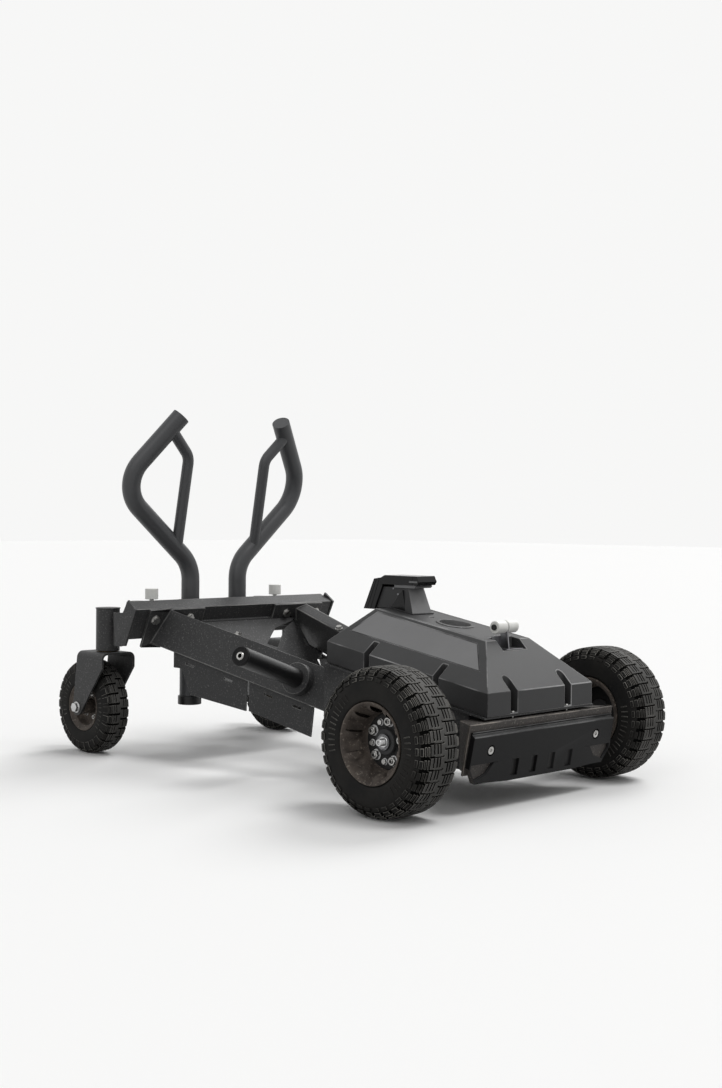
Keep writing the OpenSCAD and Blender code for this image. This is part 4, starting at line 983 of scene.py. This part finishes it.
# From three points of the slope
def slopeNormal(side):
    a, b, c = slopePoint(-300, side * 100), slopePoint(0, side * 100), slopePoint(0, side * 150)
    n = (b - a).cross(c - a).normalized()
    return n if n.z > 0 else -n


# A pocket's cutter, rounded at its inner end, and the block that it is cut into
def pocketPair(xs, ys, skirt, axis, round, s=hoodSet):
    z = skirt + s["floor"]
    low, high = ahead(xs[0], ys[0], z), ahead(xs[1], ys[1], z + s["pocketHigh"])
    wall = Vector((s["wall"] * mm,) * 3)
    cutter = boxAt("pocket", low, high)
    inner = ahead(0, 0, 0)[axis] + min((xs, ys)[axis], key=abs) * mm
    bevelPicked(cutter, lambda a, b: a.z != b.z and abs(a[axis] - inner) < 0.1 * mm,
                offset=round * mm, segments=6)
    block = boxAt("pocketBlock", low - wall, high + wall)
    return cutter, block


def hoodPockets(s=hoodSet):
    pairs = []
    for side in (1, -1):
        p = s["frontPocket"]
        ys = (side * p["y"] - p["half"], side * p["y"] + p["half"])
        pairs.append(pocketPair(p["x"], ys, s["skirt"], 0, p["round"]))
        p = s["sidePocket"]
        for x in p["x"]:
            skirt = hoodHeight(x, (s["midFront"][0], s["skirt"]))
            ys = sorted(side * y for y in p["y"])
            pairs.append(pocketPair((x - p["half"], x + p["half"]), ys, skirt, 1, p["round"]))
    return pairs


def shapedHood(s=hoodSet):
    hood = copyOf("hood", "hood_moulded")
    hull = hullOf(copyOf("hood", "hoodHull"))
    middle = centreOf("hood")
    hull.data.transform(Matrix.Translation(middle) @ Matrix.Scale(s["inside"], 4) @ Matrix.Translation(-middle))
    cutters = []
    for cutter, block in hoodPockets():
        cutWith(block, hull, "INTERSECT", keep=True)
        cutWith(hood, block, "UNION")
        cutters.append(cutter)
    bpy.data.objects.remove(hull)
    line = s["line"]
    grooves = []
    for side in (1, -1):
        n = slopeNormal(side)
        corners = [slopePoint(x, side * y) for x, y in s["panel"]]
        grooves.append(plateOf("panelCut", [c - n * s["panelDeep"] * mm for c in corners], n * s["cutHigh"] * mm))
        y = side * (s["topHalf"] - line["inside"])
        a, b = s["topRear"] + line["inside"], s["topFront"][0] - line["inside"]
        outline = [ahead(x, y, hoodHeight(x, s["topFront"]) + up)
                   for x, up in rectangle(a, b, -line["deep"], line["over"])]
        grooves.append(plateOf("topLine", outline, Vector((0, -side * line["wide"] * mm, 0))))
    for cutter in cutters + grooves:
        cutWith(hood, cutter)
    tidied(hood)
    paint(hood, "moulded_black")
    roundEdges(hood, s["edge"], "moulded_black", clamp=False)
    return hood


standFor(shapedHood(), "hood")
for hand, side in hands:
    n = slopeNormal(side)
    down = (hoodSet["panelDeep"] - hoodSet["panelUp"]) * mm
    corners = [slopePoint(x, side * y) - n * down for x, y in hoodSet["panel"]]
    panel = plateOf(f"{hand}_hood_panel", corners, n * hoodSet["panelThick"] * mm, hoodSet["panelGap"] * mm)
    bevelEdges(panel, hoodSet["panelEdge"] * mm, 30)
    smooth(paint(panel, "label_grey"))
    stand(panel, "frame", "moulded_black")
print("hood made")

# Console: a slanted housing behind, a thin head over it, a pale lip and post in front, and a cheek on each side
consoleSet = {
    "slab": [(-436, 420), (-398, 420), (-371, 478), (-366, 502), (-400, 497)], "slabHalf": 32,
    "head": [(-381, 484), (-250, 484.5), (-244.5, 493), (-252, 507), (-362, 507), (-378, 499)], "headHalf": 33,
    "lip": [(-330, 477), (-262, 477), (-257, 481), (-260, 484.2), (-330, 484.2)], "lipHalf": 30.5,
    "web": [(-396, 424), (-345, 425.8), (-290, 478), (-372, 478)], "webHalf": 26,
    "cheek": [(-341, 425.4), (-286, 416.4), (-299, 472)], "cheekAt": (33.5, 28),
    "foot": [-345.5, -258], "footHigh": (0.3, 3), "footHalf": 38,
    "postLow": (-287, -262, 35), "postHigh": (-304, -284.5, 28), "postTop": 477.2, "postIn": 1,
    "facesFront": 0.8,
    # The core keeps the seam a shallow line
    "seam": {"ring": (-266, -264.7, 480, 512), "core": (-270, -260, 478, 506.1), "deep": 0.9, "past": 2},
    "tab": [(-277, 490.5), (-249, 490.5), (-249, 495), (-277, 495)], "tabAt": (33.9, 32.5),
    "ribs": {"shares": (0.3, 0.62), "wide": 1.6, "deep": 1.2, "past": 2, "top": (-400, 30, 497)},
    "screws": [(-337, 474), (-321, 460)],
    "screw": [(0, 0), (0, 2.6), (1.4, 2.6), (1.9, 2), (1.9, 1.2), (1, 1.2), (1, 0)],
    "edge": 0.0012,
}


# Between two places across the sled, or as far to both sides
def slabOf(name, outline, far, near=None):
    near = -far if near is None else near
    return plateOf(name, [ahead(x, near, z) for x, z in outline], Vector((0, (far - near) * mm, 0)))


def sidePair(name, outline, outer, inner):
    return [slabOf(name, outline, side * outer, side * inner) for side in (1, -1)]


def shapedConsole(s=consoleSet):
    plateau = hoodSet["topFront"]
    slab = slabOf("console_shaped", s["slab"], s["slabHalf"])
    (rear, low), (front, _) = s["slab"][:2]
    r = s["ribs"]
    for share in r["shares"]:
        a, b = (1 - share) * rear + share * front, r["top"][0] + share * r["top"][1]
        bottom, top = low - r["past"], r["top"][2]
        outline = [(a, bottom), (a + r["wide"], bottom), (b + r["wide"], top), (b, top)]
        for rib in sidePair("rib", outline, s["slabHalf"] + r["past"], s["slabHalf"] - r["deep"]):
            cutWith(slab, rib)
    head, lip, web = (slabOf(k, s[k], s[k + "Half"]) for k in ("head", "lip", "web"))
    seam = s["seam"]
    ring = slabOf("seam", rectangle(*seam["ring"]), s["headHalf"] + seam["past"])
    cutWith(ring, slabOf("core", rectangle(*seam["core"]), s["headHalf"] - seam["deep"]))
    cutWith(head, ring)
    outline = [(x, hoodHeight(x, plateau) + up) for x, up in rectangle(*s["foot"], *s["footHigh"])]
    foot = slabOf("foot", outline, s["footHalf"])
    cheeks = sidePair("cheek", s["cheek"], *s["cheekAt"])
    corners = []
    for (rear, front, half), z in ((s["postLow"], None), (s["postHigh"], s["postTop"])):
        for x in (rear, front):
            for side in (1, -1):
                corners.append(ahead(x, side * half, z or hoodHeight(x, plateau) + s["postIn"]))
    post = hullOf(drawLine("post", corners))
    tabs = sidePair("tab", s["tab"], *s["tabAt"])
    for pieces, *looks in (((slab, head, *cheeks), "console_black", "post_grey", "moulded_black"),
                           ((web, foot), "moulded_black"), ((lip,), "post_grey"), (tabs, "label_grey"),
                           ((post,), "moulded_black", "post_grey")):
        for obj in pieces:
            paint(obj, *looks)
    paintFaces(post, 1, lambda face, normal: normal.x > s["facesFront"])
    joinInto(slab, head, lip, web, foot, *cheeks, post, *tabs)
    bevelEdges(slab, s["edge"], 30)
    smooth(slab, 38)
    return slab


standFor(shapedConsole(), "console")
webFace = consoleSet["webHalf"] - 0.5
screws = joinedAs("console_side_screws", [
    turned("consoleScrew", consoleSet["screw"], ahead(x, side * webFace, z), 24, side=side)
    for x, z in consoleSet["screws"] for side in (1, -1)])
smooth(paint(screws, "bracket_steel"))
stand(screws, "frame", "zinc")
print("console made")

# Fascia: moulded cover whose long edges carry a painted edge highlight; the bracket's brown coat shows in its end
# pockets
fasciaSet = {
    "webTop": (124.7, 200.8), "out": (0.9826, -0.1857), "up": (0.1857, 0.9826),
    # Floors: depth behind the web's face, place to either side and height from the web's top
    "pocket": [(5, 7.5), (150, 256), (-127, -87)], "slot": [(6, 8), (-1, 115), (-400, -88)],
    "edge": 0.0018, "shortest": 0.2, "lowest": 0.15,
}


def floorIn(spans, s=fasciaSet):
    def test(face, normal):
        x, z = (face.x - axleAt.x) / mm - s["webTop"][0], face.z / mm - s["webTop"][1]
        place = [x * a + z * b for a, b in (s["out"], s["up"])]
        place.insert(1, abs(face.y) / mm)
        return all(low < p < high for p, (low, high) in zip(place, spans))

    return test


fascia = paint(copyOf("fascia", "fascia_moulded"), "fascia_black", "crossmember_brown", "disc_black")
roundLong(fascia, fasciaSet["edge"], "fascia_black", fasciaSet["shortest"], fasciaSet["lowest"])
paintFaces(fascia, 1, floorIn(fasciaSet["pocket"]))
paintFaces(fascia, 2, floorIn(fasciaSet["slot"]))
standFor(fascia, "fascia")

# Weight horns: a black ring and a bright bolt with a socket close the end of each; the inside of the socket is
# painted black as painted shade
hornSet = {
    "fromMiddle": 123.8, "socket": 5.3,
    "ring": [(0, 10.4), (0, 23.5), (2.8, 23.5), (4, 22.3), (4, 19.6), (3.1, 18.8), (3.1, 10.4)],
    "bolt": [(0, 0), (0, 10.2), (4.2, 10.2), (5.4, 9.2), (5.4, 5.4), (1.2, 5.0), (1.2, 0)],
}
ends = {"ring": [], "bolt": []}
for mount in frame["record"]["mounts"]:
    if "horn" in mount["name"]:
        axis = Vector(mount["axis"])
        toEnd = Matrix.Translation(Vector(mount["pos_m"]) + axis * hornSet["fromMiddle"] * mm)
        turn = Vector((0, 1, 0)).rotation_difference(axis).to_matrix().to_4x4()
        for kind in ends:
            outline = hornSet[kind]
            part = turned(kind, outline + (outline[:1] if kind == "ring" else []), (0, 0, 0), 64)
            paint(part, "fascia_black" if kind == "ring" else "zinc", "groove_black")
            inside = hornSet["socket"] * mm
            paintFaces(part, 1, lambda face, normal: Vector((face.x, face.z)).length < inside and face.y < inside)
            part.data.transform(toEnd @ turn)
            ends[kind].append(part)
for kind in ends:
    piece = joinedAs(f"horn_end_{kind}s", ends[kind])
    smooth(piece)
    stand(piece, "frame", "zinc", "horn_caps")

# Strap rollers: a pale sleeve with a wide bore ring in its end
rollerSet = {"radius": 15, "pin": 7.3, "round": 1.6, "bulge": 0.4, "ring": [(0, 10.4), (0.6, 9.8), (0.6, 8.4)]}
for hand, side in hands:
    node = f"{hand}_strap_roller"
    middle = centreOf(node)
    low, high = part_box(node)
    half = (high[1] - low[1]) / 2 / mm
    r, e = rollerSet["radius"], rollerSet["round"]
    b = e * rollerSet["bulge"]
    corner = [(half - e, r), (half - b, r - b), (half, r - e)]
    outline = [(-half, rollerSet["pin"])] + otherHalf(corner) + corner
    outline += [(half - deep, ring) for deep, ring in rollerSet["ring"]] + [(half, rollerSet["pin"])]
    roller = turned(f"{node}_sleeve", outline + outline[:1], middle, 64, side=side)
    smooth(paint(roller, "knob_white"))
    standFor(roller, node)

# Cup holder: its rim is moulded as the hood is, and its smooth wall shines
cupWall, rollerSide = 0.5, 0.002
cup = paint(copyOf("cup_holder", "cup_holder_smooth"), "moulded_black", "cup_satin")
paintFaces(cup, 1, lambda face, normal: abs(normal.z) < cupWall)
roundEdges(cup, edgeSet["own"]["cup_holder"])
standFor(cup, "cup_holder")

bracket = paint(copyOf("roller_bracket", "roller_bracket_bent"), "bracket_steel", "disc_black")
rollerEnd = abs(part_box("right_strap_roller")[0][1])
paintFaces(bracket, 1, lambda face, normal: abs(face.y) > rollerEnd - rollerSide)
bevelEdges(bracket, edgeSet["own"]["roller_bracket"], edgeSet["sharpest"])
smooth(bracket, 38)
standFor(bracket, "roller_bracket")
print("small parts made")

# Handles and their sleeves: the tube goes straight into the beam, with no collar above it
sleeveSet = {"cutAt": 415.5, "stop": (440.5, 454), "stopOver": 4.95, "past": 0.01, "clear": 0.002,
             "boxPast": 0.1, "sides": 96, "edge": 0.0015}


def zCylinder(name, centre, radius, low, high):
    deselectAll()
    bpy.ops.mesh.primitive_cylinder_add(vertices=sleeveSet["sides"], radius=radius, depth=high - low,
                                        location=(centre[0], centre[1], (low + high) / 2))
    return placed(name)


sleeves = copyOf("handle_sleeves", "handle_sleeves_cut")
low, high = (Vector(corner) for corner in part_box("handle_sleeves"))
past = Vector((sleeveSet["boxPast"],) * 3)
cutWith(sleeves, boxAt("above", Vector((*(low - past).xy, sleeveSet["cutAt"] * mm)), high + past))
paint(tidied(sleeves), "frame_powder")
roundEdges(sleeves, sleeveSet["edge"], "frame_powder")
standFor(sleeves, "handle_sleeves")
for hand, _ in hands:
    node = f"{hand}_push_handle"
    handle = copyOf(node, f"{node}_plain")
    low, high = (z * mm for z in sleeveSet["stop"])
    ring = [v.co for v in handle.data.vertices if low < v.co.z < high]
    ends = [[f(p[i] for p in ring) for f in (min, max)] for i in (0, 1)]
    middle = [sum(pair) / 2 for pair in ends]
    radius = (ends[1][1] - ends[1][0]) / 2
    stop = zCylinder("stop", middle, radius + sleeveSet["clear"], low, high)
    past = sleeveSet["past"]
    cutWith(stop, zCylinder("tube", middle, radius - sleeveSet["stopOver"] * mm, low - past, high + past))
    cutWith(handle, stop)
    paint(tidied(handle), slotOf[node])
    roundEdges(handle, sleeveSet["edge"], slotOf[node])
    standFor(handle, node)
print("handles made")

for node in nodes:
    if node not in shaped:
        obj = copyOf(node, node + "_dressed")
        roundEdges(obj, edgeSet["own"].get(node, edgeSet["width"]), slotOf[node], node not in edgeSet["unclamped"])
        standFor(obj, node)
print("edges rounded")
